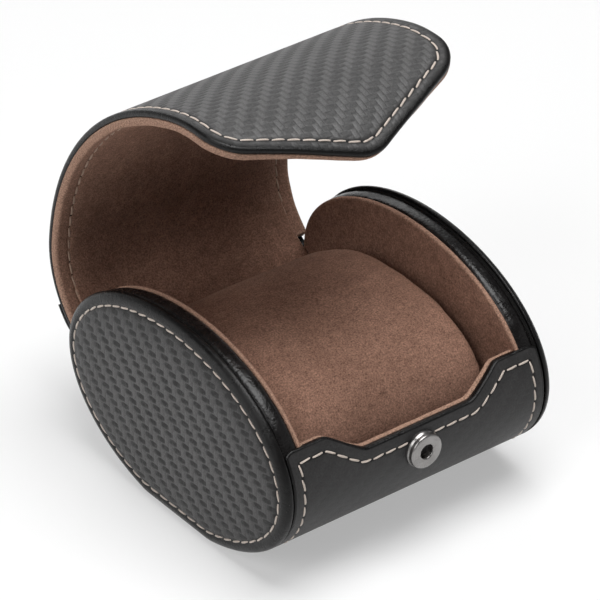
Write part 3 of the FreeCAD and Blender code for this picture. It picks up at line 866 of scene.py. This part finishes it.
def scoopHeight(x):
    low, floor, mouth, radius = (scoop[key] for key in ("low", "floor", "mouth", "round"))
    run = (mouth - floor, scoopHigh - low - 2 * radius)
    lean = atan2(run[1], run[0]) + asin(2 * radius / hypot(*run))
    footX = floor + radius * sin(lean)
    headX = mouth - radius * sin(lean)
    x = abs(x)
    if x <= floor:
        return low
    if x <= footX:
        return low + radius - sqrt(radius**2 - (x - floor) ** 2)
    if x <= headX:
        return low + radius - radius * cos(lean) + (x - footX) * tan(lean)
    if x <= mouth:
        return scoopHigh - radius + sqrt(radius**2 - (mouth - x) ** 2)
    corner = max(0.0, (x - scoop["corner"]) / (panelHalf - scoop["corner"]))
    return scoopHigh - scoop["drop"] * corner**2


arcsKnown = {}


def scoopArc(x, inset):
    # arc of the panel's front edge at x, drawn in evenly by inset
    key = (round(x, 3), round(inset, 3))
    if key not in arcsKnown:
        reach = scoop["tries"] if inset > 1e-6 else 0
        tried = []
        for step in range(-reach, reach + 1):
            share = step / reach if reach else 0.0
            beside = clamp(x + share * inset, -panelHalf, panelHalf)
            tried.append(arcAtFront(scoopHeight(beside)) + inset * sqrt(1 - share**2))
        arcsKnown[key] = max(tried)
    return arcsKnown[key]


backArc = arcAtBack(hingeZ)


def makePanel():
    inset = panel["edgeRound"]
    inner = [panelHalf - step for step in panel["sideSteps"]]
    middle = spread(-inner[-1], inner[-1], panel["columnStep"])
    columns = [-x for x in inner[:-1]] + middle + inner[:-1][::-1]
    whole = backArc - arcAtFront(scoopHigh)
    downs = spreads(
        (0.0, 2.2, 0.4), (2.4, 4.2, 0.22), (4.6, 10.0, 0.6), (11.4, whole - 8.0, 1.5),
        (whole - 7.0, whole - 2 * inset, 0.8),
    )
    rows = [down / downs[-1] for down in downs]

    def edges(drawnIn):
        grown = (panelHalf - drawnIn) / (panelHalf - inset)
        line = [x * grown for x in columns]
        return [(x, scoopArc(x, drawnIn)) for x in line], [(x, backArc - drawnIn) for x in line]

    def inGroove(x, arc):
        corner = -0.2
        below = arc - scoopArc(x, panel["seamTop"])
        beside = panelHalf - abs(x) - panel["seamSide"]
        onTop = bell(below, panel["grooveWide"]) if beside > corner else 0.0
        onSide = bell(beside, panel["grooveWide"]) if below > corner else 0.0
        return max(onTop, onSide)

    def relief(x, arc):
        return panel["groove"] * inGroove(x, arc)

    # painted shade along the seam groove, through the dark glossy shader
    def seamShade(x, arc):
        return panel["bare"] * inGroove(x, arc)

    def hem(depth):
        # the turned edge is board-thick between the rims and one leather over them
        def at(x, arc):
            overRim = abs(x) > innerX - 0.2
            return depth * (leather - hair if overRim else shell) / shell
        return at

    soft, turned = panel["hemRound"], panel["hem"] - 0.3
    rings = bareRings(*((drawnIn, hem(depth)) for drawnIn, depth in roundOver(inset)[1:]))
    rings += bareRings(
        (0.0, hem(shell - soft)), (0.13, hem(shell - 0.13)), (soft, hem(shell)),
        (turned, hem(shell)), (turned + 0.02, leather - 0.05),
    )
    cover = plate(
        "barrelCover", edges, rows, inset, rings, onBarrel, leather - hair, "panel", "weave_leather",
        relief, seamShade,
    )
    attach(cover, "case")
    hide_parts("barrel_cover")

    def onPanel(x, arc, depth):
        return onBarrel(x, arc, depth + panel["groove"])

    seamX = panelHalf - panel["seamSide"]
    top = [(x, scoopArc(x, panel["seamTop"])) for x in spread(-seamX, seamX, 0.25)]
    tail = arcAtBack(hingeZ - panel["seamTail"])
    sides = [[(x, arc) for arc in spread(top[0][1], tail, 1.0)] for x in (-seamX, seamX)]
    seam = stitches("panelStitches", [top] + sides, onPanel)
    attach(seam, "case")


makePanel()


lining = {
    "edgeRound": 0.5,
    "short": -0.05,     # how far its front edge stays below the panel's
    "backShort": 0.3,
    "inset": 0.7,
    "columnStep": 1.2,
    "rows": 70,
    "wave": 0.12,
    "wavePitch": 3.5,
}


def makeBarrelLining():
    half = innerX - 0.02
    face = half - lining["inset"]
    columns = spread(-face, face, lining["columnStep"])
    backEnd = arcAtBack(hingeZ - lining["backShort"])
    thick = layers["suede"]

    def edges(inset):
        line = [x * (half - inset) / face for x in columns]
        top = [(x, scoopArc(x, inset + lining["short"])) for x in line]
        return top, [(x, backEnd - inset) for x in line]

    def place(x, arc, depth):
        wave = lining["wave"] * ripple((x, arc), lining["wavePitch"], 1.0)
        return onBarrel(x, arc, sheet - depth + wave * bell(depth, 0.8))

    rings = [(inset, depth, 0.9) for inset, depth in roundOver(lining["edgeRound"])[1:]]
    rings += bareRings((0.0, thick - 0.25), (0.25, thick - hair))
    made = plate(
        "barrelLining", edges, spread(0.0, 1.0, 1 / lining["rows"]), lining["inset"], rings, place,
        thick - hair, "suede", "suede",
    )
    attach(made, "case")
    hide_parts("barrel_lining")


makeBarrelLining()
print("barrel made")


# Lid and tongue: one bent line, walked from the hinge axis to the tip

bends = [
    {"radius": 24.2, "length": 25.6},
    {"radius": 65.7, "length": 79.5},
    {"radius": 31.1, "length": 31.0},
]
lidLean = radians(36.0)
spotY, spotZ, heading, walked = hingeY, hingeZ, lidLean, 0.0
for bend in bends:
    bend["start"] = walked
    bend["heading"] = heading
    bend["centre"] = (
        spotY - bend["radius"] * sin(heading),
        spotZ + bend["radius"] * cos(heading),
    )
    heading += bend["length"] / bend["radius"]
    spotY = bend["centre"][0] + bend["radius"] * sin(heading)
    spotZ = bend["centre"][1] - bend["radius"] * cos(heading)
    walked += bend["length"]
foldRun = bends[2]["start"]
tipRun = walked
lidStart = halfSheet + 0.3


def onLid(x, run, off):
    # off counts outwards from mid thickness
    bend = bends[0]
    for following in bends[1:]:
        if run >= following["start"]:
            bend = following
    turn = bend["heading"] + (run - bend["start"]) / bend["radius"]
    arm = bend["radius"] + off
    return (x, bend["centre"][0] + arm * sin(turn), bend["centre"][1] - arm * cos(turn))


tongue = {"side": 9.5, "shoulder": 11.0, "tip": 12.0, "steps": 24}


def tongueEdge(half, inset, count):
    # the tongue's rounded end from left to right, as it lies flat, drawn in by inset
    shoulder, tip, steps = tongue["shoulder"], tongue["tip"], tongue["steps"]
    arm = bends[2]["radius"]
    sweep = bends[2]["length"] / arm / 2
    shoulderX = half - shoulder
    shoulderY = arm * sin(tongue["side"] / arm - sweep)
    tipY = arm * sin(sweep) - tip
    run = (shoulderX, shoulderY - tipY)
    lean = atan2(run[1], run[0]) + acos((tip - shoulder) / hypot(*run))
    right = []
    for x, y, size, low, high in (
        (shoulderX, shoulderY, shoulder - inset, 0.0, lean),
        (0.0, tipY, tip - inset, lean, pi / 2),
    ):
        for step in range(steps + 1):
            angle = low + (high - low) * step / steps
            right.append((x + size * cos(angle), y + size * sin(angle)))
    outline = [(-x, y) for x, y in right] + right[::-1][1:]
    flat = [(x, foldRun + arm * (sweep + asin(min(1.0, y / arm)))) for x, y in outline]
    at, length, _ = walk(flat, 1.0)
    return [at(length * index / (count - 1)) for index in range(count)]


lidLook = {
    "seam": 3.1,
    "groove": 0.3,
    "grooveWide": 0.6,
    "bare": ((0.75, 3.1, 0.5), (0.9, 0.8, 0.9)),    # darker glossy leather, share, inset and width: painted shade in the seam groove, and a dark band by the turned edge
    "edgeRound": 0.8,
    "lip": 0.45,            # how far the suede's edge reaches up over the board
    "liningRound": 0.6,
    "liningSeam": 3.8,
    "liningGroove": 0.28,
    "liningOver": 0.1,      # how far the suede stands out past the leather's sides
    "seamStart": (8.5, 6.0),    # start of the outer and the inner seam, past the lid's start
    "seamPoints": 161,
    "inset": 6.6,
    "insets": [6.0, 5.2, 4.5, 4.1, 3.8, 3.55, 3.3, 3.1, 2.9, 2.65, 2.3, 1.9, 1.5, 1.1],
    "liningInsets": [6.0, 5.2, 4.7, 4.4, 4.1, 3.8, 3.5, 3.2, 2.8, 2.2, 1.6, 1.0],
    "columns": 81,
    "rowStep": 1.25,
    "wave": 0.12,           # unevenness of the cut edge
    "wavePitch": 7.0,
    "waveReach": 3.0,
    "swell": 0.15,          # unevenness of the suede
    "swellPitch": 5.0,
}
liningHalf = flapHalf + lidLook["liningOver"]
lidRows = spread(0.0, 1.0, lidLook["rowStep"] / (tipRun - lidStart))


def lidEdges(half, seed):
    inner = tongueEdge(half, lidLook["inset"], lidLook["columns"])

    def edges(inset):
        reach = half - inset
        top = [(x * reach / (half - lidLook["inset"]), lidStart + inset) for x, _ in inner]
        bottom = tongueEdge(half, inset, lidLook["columns"])
        bottom[0] = (-reach, bottom[0][1])
        bottom[-1] = (reach, bottom[-1][1])
        wave = lidLook["wave"] * max(0.0, 1 - inset / lidLook["waveReach"])

        def nudge(point):
            shifts = [wave * ripple(point, lidLook["wavePitch"], seed + axis) for axis in (0, 1)]
            return (point[0] + shifts[0], point[1] + shifts[1])

        return [nudge(point) for point in top], [nudge(point) for point in bottom]

    return edges


def makeLidCover():
    def depthAt(inset):
        return lidLook["groove"] * bell(inset - lidLook["seam"], lidLook["grooveWide"])

    # painted shade along the seam groove, and a dark band by the turned edge
    def mark(inset):
        return sum(share * bell(inset - middle, width) for share, middle, width in lidLook["bare"])

    def place(x, run, depth):
        return onLid(x, run, halfSheet - depth)

    turned = shell - lidLook["lip"]
    rings = [(inset, depthAt(inset), mark(inset)) for inset in lidLook["insets"]]
    rings += bareRings(
        *roundOver(lidLook["edgeRound"], 5), (0.0, turned - 0.35), (0.1, turned - 0.1), (0.4, turned),
        (0.75, turned), (0.8, leather),
    )
    cover = plate(
        "lidCover", lidEdges(flapHalf, 5.0), lidRows, lidLook["inset"], rings, place,
        leather - 0.02, "lid", "weave_leather",
    )
    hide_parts("lid_cover", "lid_fold", "tongue_cover")
    return cover


def makeLidLining():
    thick = layers["suede"] - hair
    lip = thick + lidLook["lip"] - 0.02

    def depthAt(inset):
        return lidLook["liningGroove"] * bell(inset - lidLook["liningSeam"], lidLook["grooveWide"])

    def place(x, run, depth):
        wave = lidLook["swell"] * ripple((x, run), lidLook["swellPitch"], 2.0) * bell(depth, 1.2)
        return onLid(x, run, -halfSheet + depth + wave)

    rings = [(inset, depthAt(inset), 0.12) for inset in lidLook["liningInsets"]]
    rings += [(inset, depth, 0.75) for inset, depth in roundOver(lidLook["liningRound"])]
    rings += bareRings((0.0, lip - 0.3), (0.12, lip - 0.08), (0.35, lip), (0.72, lip), (0.74, thick))
    made = plate(
        "lidLining", lidEdges(liningHalf, 9.0), lidRows, lidLook["inset"], rings, place,
        thick, "suede", "suede",
    )
    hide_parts("lid_lining", "tongue_lining")
    return made


def seamAlongLid(half, inset, start):
    end = tongueEdge(half, inset, lidLook["seamPoints"])
    runs = spread(lidStart + start, end[0][1], 1.0)
    left = [(inset - half, run) for run in runs]
    right = [(half - inset, run) for run in runs]
    return left[:-1] + end + right[::-1][1:]


def makeLidSeams():
    outerStart, innerStart = lidLook["seamStart"]

    def outside(x, run, depth):
        return onLid(x, run, halfSheet - lidLook["groove"] - depth)

    def inside(x, run, depth):
        return onLid(x, run, -halfSheet + lidLook["liningGroove"] + depth)

    outerLine = seamAlongLid(flapHalf, lidLook["seam"], outerStart)
    innerLine = seamAlongLid(liningHalf, lidLook["liningSeam"], innerStart)
    outer = stitches("lidStitches", [outerLine], outside)
    inner = stitches("lidLiningStitches", [innerLine], inside, "tan")
    return outer, inner


for made in (makeLidCover(), makeLidLining(), *makeLidSeams()):
    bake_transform(made)
print("lid and tongue made")


# Leather hinge outside, suede gusset inside

def curve(first, firstWay, last, lastWay, steps):
    # cubic from first to last, leaving along firstWay and arriving along lastWay
    second = [value + way for value, way in zip(first, firstWay)]
    third = [value - way for value, way in zip(last, lastWay)]
    points = []
    for step in range(steps + 1):
        share = step / steps
        rest = 1 - share
        weights = (rest**3, 3 * rest**2 * share, 3 * rest * share**2, share**3)
        rows = zip(first, second, third, last)
        points.append(tuple(sum(w * value for w, value in zip(weights, row)) for row in rows))
    return points


bendable = {"rowStep": 0.6, "columns": 28, "edge": 0.35, "wave": 0.1, "wavePitch": 4.0}


def strip(name, path, half, thick, finish, slot, flip, seed):
    # sheet swept along X over a path in the YZ plane
    at, length, _ = walk(path, 1.0)
    rows = spread(0.0, 1.0, bendable["rowStep"] / length)
    columns = spread(-1.0, 1.0, 1 / bendable["columns"])

    def place(x, run, depth):
        near = 0.1
        spot = at(clamp(run, 0.0, length))
        ahead = at(min(run + near, length))
        behind = at(max(run - near, 0.0))
        way = Vector((0.0, ahead[0] - behind[0], ahead[1] - behind[1])).normalized()
        up = Vector((0.0, way.z, -way.y)) * flip
        wave = bendable["wave"] * ripple((x, run), bendable["wavePitch"], seed)
        return Vector((x, *spot)) - up * (depth + wave)

    def edges(inset):
        reach = half - inset
        return [(x * reach, inset) for x in columns], [(x * reach, length - inset) for x in columns]

    rings = bareRings(*roundOver(bendable["edge"], 3)[1:], (0.0, thick - 0.1), (0.1, thick))
    return plate(name, edges, rows, bendable["edge"], rings, place, thick, finish, slot)


# heights are below the hinge axis, runs past it along the lid; wallPull and lidPull shape the valley
hinge = {
    "tail": 9.0, "leave": 4.4, "meet": 5.0, "end": 9.0,
    "wallPull": (0.2, 2.6), "lidPull": 3.6, "thick": 0.9, "steps": 14, "reach": 3.2,
}
gusset = {
    "tail": 7.0, "leave": 2.5, "meet": 6.5, "runStep": 2.0, "runs": 7,
    "wallPull": (0.3, 3.0), "lidPull": 4.0, "thick": 0.72, "steps": 14,
    "offWall": 0.7, "offLid": 0.5, "rise": 0.12,    # it sinks into the lid's suede towards its end
}


def barrelPath(low, high, depth, steps):
    path = []
    for height in spread(low, high, (high - low) / steps):
        y = (halfDepth - depth) * sqrt(1 - ((height - midHeight) / (halfRound - depth)) ** 2)
        path.append((y, height))
    return path


def valley(wall, far, look):
    turn = lidLean + look["meet"] / bends[0]["radius"]
    lidWay = (look["lidPull"] * cos(turn), look["lidPull"] * sin(turn))
    return wall[:-1] + curve(wall[-1], look["wallPull"], far[0], lidWay, look["steps"]) + far[1:]


def makeHinge():
    proud = hinge["thick"]
    wall = barrelPath(hingeZ - hinge["tail"], hingeZ - hinge["leave"], -proud, 8)
    runs = spread(hinge["meet"], hinge["end"], (hinge["end"] - hinge["meet"]) / 6)
    far = [onLid(0.0, run, halfSheet + proud)[1:] for run in runs]
    outside = strip(
        "hingeStrip", valley(wall, far, hinge), flapHalf - 0.05, proud - hair,
        "smooth", "smooth_leather", 1.0, 4.0,
    )
    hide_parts("hinge_strip")
    wall = barrelPath(hingeZ - gusset["tail"], hingeZ - gusset["leave"], sheet + gusset["offWall"], 6)
    far = []
    for step in range(gusset["runs"]):
        off = -halfSheet - gusset["offLid"] + gusset["rise"] * step**1.5
        far.append(onLid(0.0, gusset["meet"] + gusset["runStep"] * step, off)[1:])
    inside = strip(
        "hingeGusset", valley(wall, far, gusset), innerX - 0.3, gusset["thick"],
        "suede", "suede", -1.0, 6.0,
    )
    for made in (outside, inside):
        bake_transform(made)


makeHinge()
print("hinge made")


# Snap: profiles as (radius, height)

snap = {
    "turns": 72,
    "studRun": 19.9,        # the stud's place past the tongue's fold
    "socket": [
        (0.0, -0.9), (1.6, -0.9), (1.75, -0.7), (1.8, 1.5), (1.88, 1.72), (2.05, 1.84), (2.3, 1.88),
        (3.4, 1.9), (3.95, 1.88), (4.2, 1.8), (4.36, 1.62), (4.42, 1.4), (4.42, 0.9), (4.5, 0.55),
        (4.68, 0.35), (4.7, 0.1), (4.7, -0.9), (4.5, -1.2), (0.0, -1.2),
    ],
    "stud": [
        (0.0, 1.8), (0.7, 1.78), (1.15, 1.6), (1.4, 1.25), (1.3, 0.9), (1.2, 0.6), (1.3, 0.38),
        (1.7, 0.3), (3.2, 0.3), (3.7, 0.24), (3.95, 0.08), (4.0, -0.1), (4.0, -0.5), (0.0, -0.5),
    ],
}


def lathe(profile, foot, way, turns):
    axis = Vector(way).normalized()
    across = axis.orthogonal().normalized()
    up = axis.cross(across)
    spots, faces, loops = [], [], []
    for radius, height in profile:
        centre = Vector(foot) + axis * height
        if radius < 1e-6:
            loops.append(putRing(spots, [(centre, (0.0, height), 0.0)]) * turns)
            continue
        arc = 2 * pi * radius / turns
        ring = ringAround(centre, across * radius, up * radius, turns)
        ring = [(point, (arc * step, height), 0.0) for step, point in enumerate(ring)]
        loops.append(putRing(spots, ring))
    joinLoops(faces, loops)
    return spots, faces


def makeSnap():
    turned = lathe(snap["socket"], (0.0, -halfDepth, midHeight), (0, -1, 0), snap["turns"])
    socket = piece("snapSocket", *turned, "metal", "snap_metal")
    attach(socket, "case")
    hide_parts("snap_socket")
    run = foldRun + snap["studRun"]
    foot = Vector(onLid(0.0, run, -halfSheet))
    way = foot - Vector(onLid(0.0, run, 0.0))
    stud = piece("snapStud", *lathe(snap["stud"], foot, way, snap["turns"]), "metal", "snap_metal")
    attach(stud, "tongue")
    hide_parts("snap_stud")


makeSnap()
print("snap made")


# Cushion

cushionLow, cushionHigh = corners("cushion_cover")
cushion = {
    "turns": 120,
    "slack": 0.7,       # how much smaller than the frame's cushion the cloth starts
    "taper": 0.6,       # and how much more towards its ends
    "power": 0.92,      # of its section: under 1 is fuller than an ellipse
    "end": 1.5,         # rounded end, in from the seam to the flat of the end
    "endShrinks": [0.1, 0.3, 0.5, 0.7, 0.85, 0.95],
    "draw": 1.6,        # how far the cloth is gathered in at the end seams
    "drawFrom": 0.8,    # share of the half length where the gathering starts
    "pucker": 0.25,
    "puckerReach": 5.0,
    "seam": 0.3,        # depth of the end seams
    "seamWide": 0.8,
    "fill": 0.75,
}
cloth = {
    "scale": 20.0,      # simulated this many times its size, where the solver's defaults fit
    "voxel": 1.9,
    "hold": 0.6,        # held from this far inside the end seams
    "pressure": 4.0,
    "frames": 20,
    "cap": 0.75,        # furthest that a point may move
}
cushionMid = (cushionHigh.z + cushionLow.z) / 2


def cushionPoint(x, angle, draw, shrink):
    halfY = ((cushionHigh.y - cushionLow.y) / 2 - draw) * shrink
    halfZ = ((cushionHigh.z - cushionLow.z) / 2 - draw) * shrink
    cosine, sine = cos(angle), sin(angle)
    y = halfY * copysign(abs(cosine) ** cushion["power"], cosine)
    z = halfZ * copysign(abs(sine) ** cushion["power"], sine)
    return (x, y, cushionMid + z)


def slackCushion(seamX):
    # the sewn cover before it is filled: a roll with gathered ends
    drawFrom = cushion["drawFrom"]
    points, faces, loops = [], [], []

    def station(x, draw, shrink=1.0):
        ring = [cushionPoint(x, angle, draw, shrink) for angle in around(cushion["turns"])]
        loops.append(putRing(points, ring))

    def bodyDraw(x):
        share = abs(x) / seamX
        gather = max(0.0, (share - drawFrom) / (1 - drawFrom)) ** 2.5
        return cushion["slack"] + cushion["taper"] * share**4 + cushion["draw"] * gather

    def bulge(shrink):
        return seamX + cushion["end"] * (1 - shrink**4)

    gathered = bodyDraw(seamX)
    for shrink in cushion["endShrinks"]:
        station(-bulge(shrink), gathered, shrink)
    for x in spread(-seamX, seamX, 1.0):
        station(x, bodyDraw(x))
    for shrink in reversed(cushion["endShrinks"]):
        station(bulge(shrink), gathered, shrink)
    joinLoops(faces, loops)
    return points, faces + [loops[0], loops[-1]]


def swollen(points, faces, seamX):
    # voxel remesh, then cloth under pressure, held at the end seams; points come back in millimetres
    scale = cloth["scale"] * mm
    pad = meshObject("swelling", points, faces, scale)
    remesh = pad.modifiers.new("remesh", "REMESH")
    remesh.mode = "VOXEL"
    remesh.voxel_size = cloth["voxel"] * scale

    def evaluated():
        graph = bpy.context.evaluated_depsgraph_get()
        return bpy.data.meshes.new_from_object(pad.evaluated_get(graph))

    mesh = evaluated()
    pad.modifiers.clear()
    pad.data = mesh
    rest = [vertex.co.copy() for vertex in mesh.vertices]
    holdX = (seamX - cloth["hold"]) * scale
    held = pad.vertex_groups.new(name="held")
    held.add([index for index, spot in enumerate(rest) if abs(spot.x) > holdX], 1.0, "REPLACE")
    modifier = pad.modifiers.new("cloth", "CLOTH")
    modifier.settings.use_pressure = True
    modifier.settings.uniform_pressure_force = cloth["pressure"]
    modifier.settings.vertex_group_mass = "held"
    modifier.settings.effector_weights.gravity = 0.0
    startFrame = scene.frame_current
    for number in range(1, cloth["frames"] + 1):
        scene.frame_set(number)
    filled = evaluated()
    pad.modifiers.clear()
    scene.frame_set(startFrame)
    cap = cloth["cap"] * scale
    moves = [0.0]
    for vertex, before, after in zip(mesh.vertices, rest, filled.vertices):
        move = after.co - before
        moves.append(move.length)
        vertex.co = before + move * min(1.0, cap / max(move.length, 1e-9))
    print("cushion swelled, furthest", round(max(moves) / scale, 2), "mm before the cap")
    finer = pad.modifiers.new("finer", "SUBSURF")
    finer.levels = 1
    smooth = evaluated()
    bpy.data.objects.remove(pad)
    points = [vertex.co / scale for vertex in smooth.vertices]
    return points, [tuple(face.vertices) for face in smooth.polygons]


def makeCushion():
    seamX = cushionHigh.x - cushion["end"] - 0.1
    points, faces = slackCushion(seamX)
    points, faces = swollen(points, faces, seamX)
    spots = []
    for x, y, z in points:
        out = Vector((0.0, y, z - cushionMid))
        way = out.normalized()
        past = abs(x) - seamX
        fold = ripple((way.y * 30, way.z * 30), 2.4, 8.0) + 0.3
        inwards = cushion["seam"] * bell(past, cushion["seamWide"])
        inwards += cushion["pucker"] * bell(past, cushion["puckerReach"]) * fold
        point = Vector((x, y, z)) - way * inwards * min(1.0, out.length / 8)
        spots.append((point, (0.0, 0.0), 0.0))
    made = piece("cushion", spots, faces, "cushion", "suede")
    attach(made, "cushion")
    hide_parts("cushion_cover", "cushion_foam", "left_cushion_end", "right_cushion_end")


makeCushion()
print("cushion made")


# Pieces kept from the frame: their finish only

innerFinish = {
    "barrel_board": "board",
    "lid_board": "board",
    "tongue_board": "board",
    "snap_washer": "metal",
    "stud_washer": "metal",
}
for side in ("left", "right"):
    innerFinish[f"{side}_end_foam"] = "foam"
    innerFinish[f"{side}_end_board"] = "core"
    innerFinish[f"{side}_rim_core"] = "core"
for node, finish in innerFinish.items():
    slots = nodes[node].data.materials
    slots.clear()
    slots.append(finishes[finish])
print("kept nodes finished:", len(innerFinish))


# Floor, light and camera, in metres

studio = {
    "reach": 5.0,           # to the foot of the sweep
    "height": 4.0,
    "bend": 1.5,
    "bendSteps": 8,
    "turns": 96,
    "under": 0.0002,        # the floor lies this much under the case
    "floor": (0.9, 0.9, 0.9, 1.0),
    "white": 0.4,           # share of plain white that camera and reflections see
    "worldLight": 0.06,
}


def makeFloor():
    # a round white floor that bends up into a wall
    reach, bend = studio["reach"], studio["bend"]
    profile = [(reach * share, 0.0) for share in (0.0, 0.1, 0.25, 0.5, 0.75, 1.0)]
    for angle in quarter(studio["bendSteps"])[1:]:
        profile.append((reach + bend * sin(angle), bend * (1 - cos(angle))))
    profile.append((reach + bend, studio["height"]))
    spots, faces = lathe(profile[::-1], (0, 0, 0), (0, 0, 1), studio["turns"])
    floor = meshObject("sweep", [spot[0] for spot in spots], faces, 1.0)
    floor.location.z = -studio["under"]
    material, shade = newFinish("paleSweep")
    path = shade.add("ShaderNodeLightPath")
    seen = path.output("Is Camera Ray")
    for ray in ("Is Glossy Ray", "Is Transmission Ray"):
        seen = shade.maths("MAXIMUM", seen, path.output(ray))
    matte = shade.add("ShaderNodeBsdfDiffuse", {}, {"Color": studio["floor"]})
    white = shade.add("ShaderNodeEmission", {}, {"Strength": 1.0})
    both = shade.add("ShaderNodeMixShader", {}, {0: seen * studio["white"], 1: matte, 2: white})
    floor.data.materials.append(finished(material, shade, both))


def makeWorld():
    world = bpy.data.worlds.new("studio")
    scene.world = world
    world.use_nodes = True
    world.node_tree.nodes.clear()
    shade = Shade(world.node_tree)
    light = {"Color": (1.0, 1.0, 1.0, 1.0), "Strength": studio["worldLight"]}
    sky = shade.add("ShaderNodeBackground", {}, light)
    shade.add("ShaderNodeOutputWorld", {}, {"Surface": sky})


lamps = {
    "overhead": {"spot": (0.05, -0.12, 0.95), "size": 0.6, "power": 9.0},
    "back": {"spot": (0.4, 0.8, 0.6), "size": 0.6, "power": 1.8},
    "side": {"spot": (-0.75, -0.2, 0.7), "size": 0.5, "power": 3.0},
    "low": {"spot": (-0.9, 0.45, 0.16), "size": 0.4, "power": 1.6},
}
lampTarget = Vector((0.0, 0.0, 0.05))


def aimed(data, spot, back):
    # a lamp or camera at spot, looking away from back
    made = bpy.data.objects.new(data.name, data)
    made.location = spot
    made.rotation_mode = "QUATERNION"
    made.rotation_quaternion = back.to_track_quat("Z", "Y")
    scene.collection.objects.link(made)
    return made


def makeLamps():
    for name, lamp in lamps.items():
        data = bpy.data.lights.new(name, "AREA")
        data.energy = lamp["power"]
        data.size = lamp["size"]
        aimed(data, lamp["spot"], Vector(lamp["spot"]) - lampTarget)


camera = {
    "azimuth": -37.7,
    "elevation": 33.456,
    "distance": 1082.75,    # millimetres from the oval's middle, then aside and up
    "aside": -1.77,
    "raised": 15.27,
    "lens": 275.7,
    "sensor": 36.0,
    "clip": (0.1, 20.0),
}


def makeCamera():
    turn = radians(camera["azimuth"])
    rise = radians(camera["elevation"])
    back = Vector((sin(turn) * cos(rise), -cos(turn) * cos(rise), sin(rise)))
    right = Vector((0, 0, 1)).cross(back).normalized()
    up = back.cross(right)
    data = bpy.data.cameras.new("camera")
    data.lens = camera["lens"]
    data.sensor_width = camera["sensor"]
    data.clip_start, data.clip_end = camera["clip"]
    spot = Vector((0.0, 0.0, midHeight))
    spot += back * camera["distance"] + right * camera["aside"] + up * camera["raised"]
    scene.camera = aimed(data, spot * mm, back)


makeFloor()
makeWorld()
makeLamps()
makeCamera()
scene.view_settings.view_transform = "Standard"
print("stage, lamps and camera set")
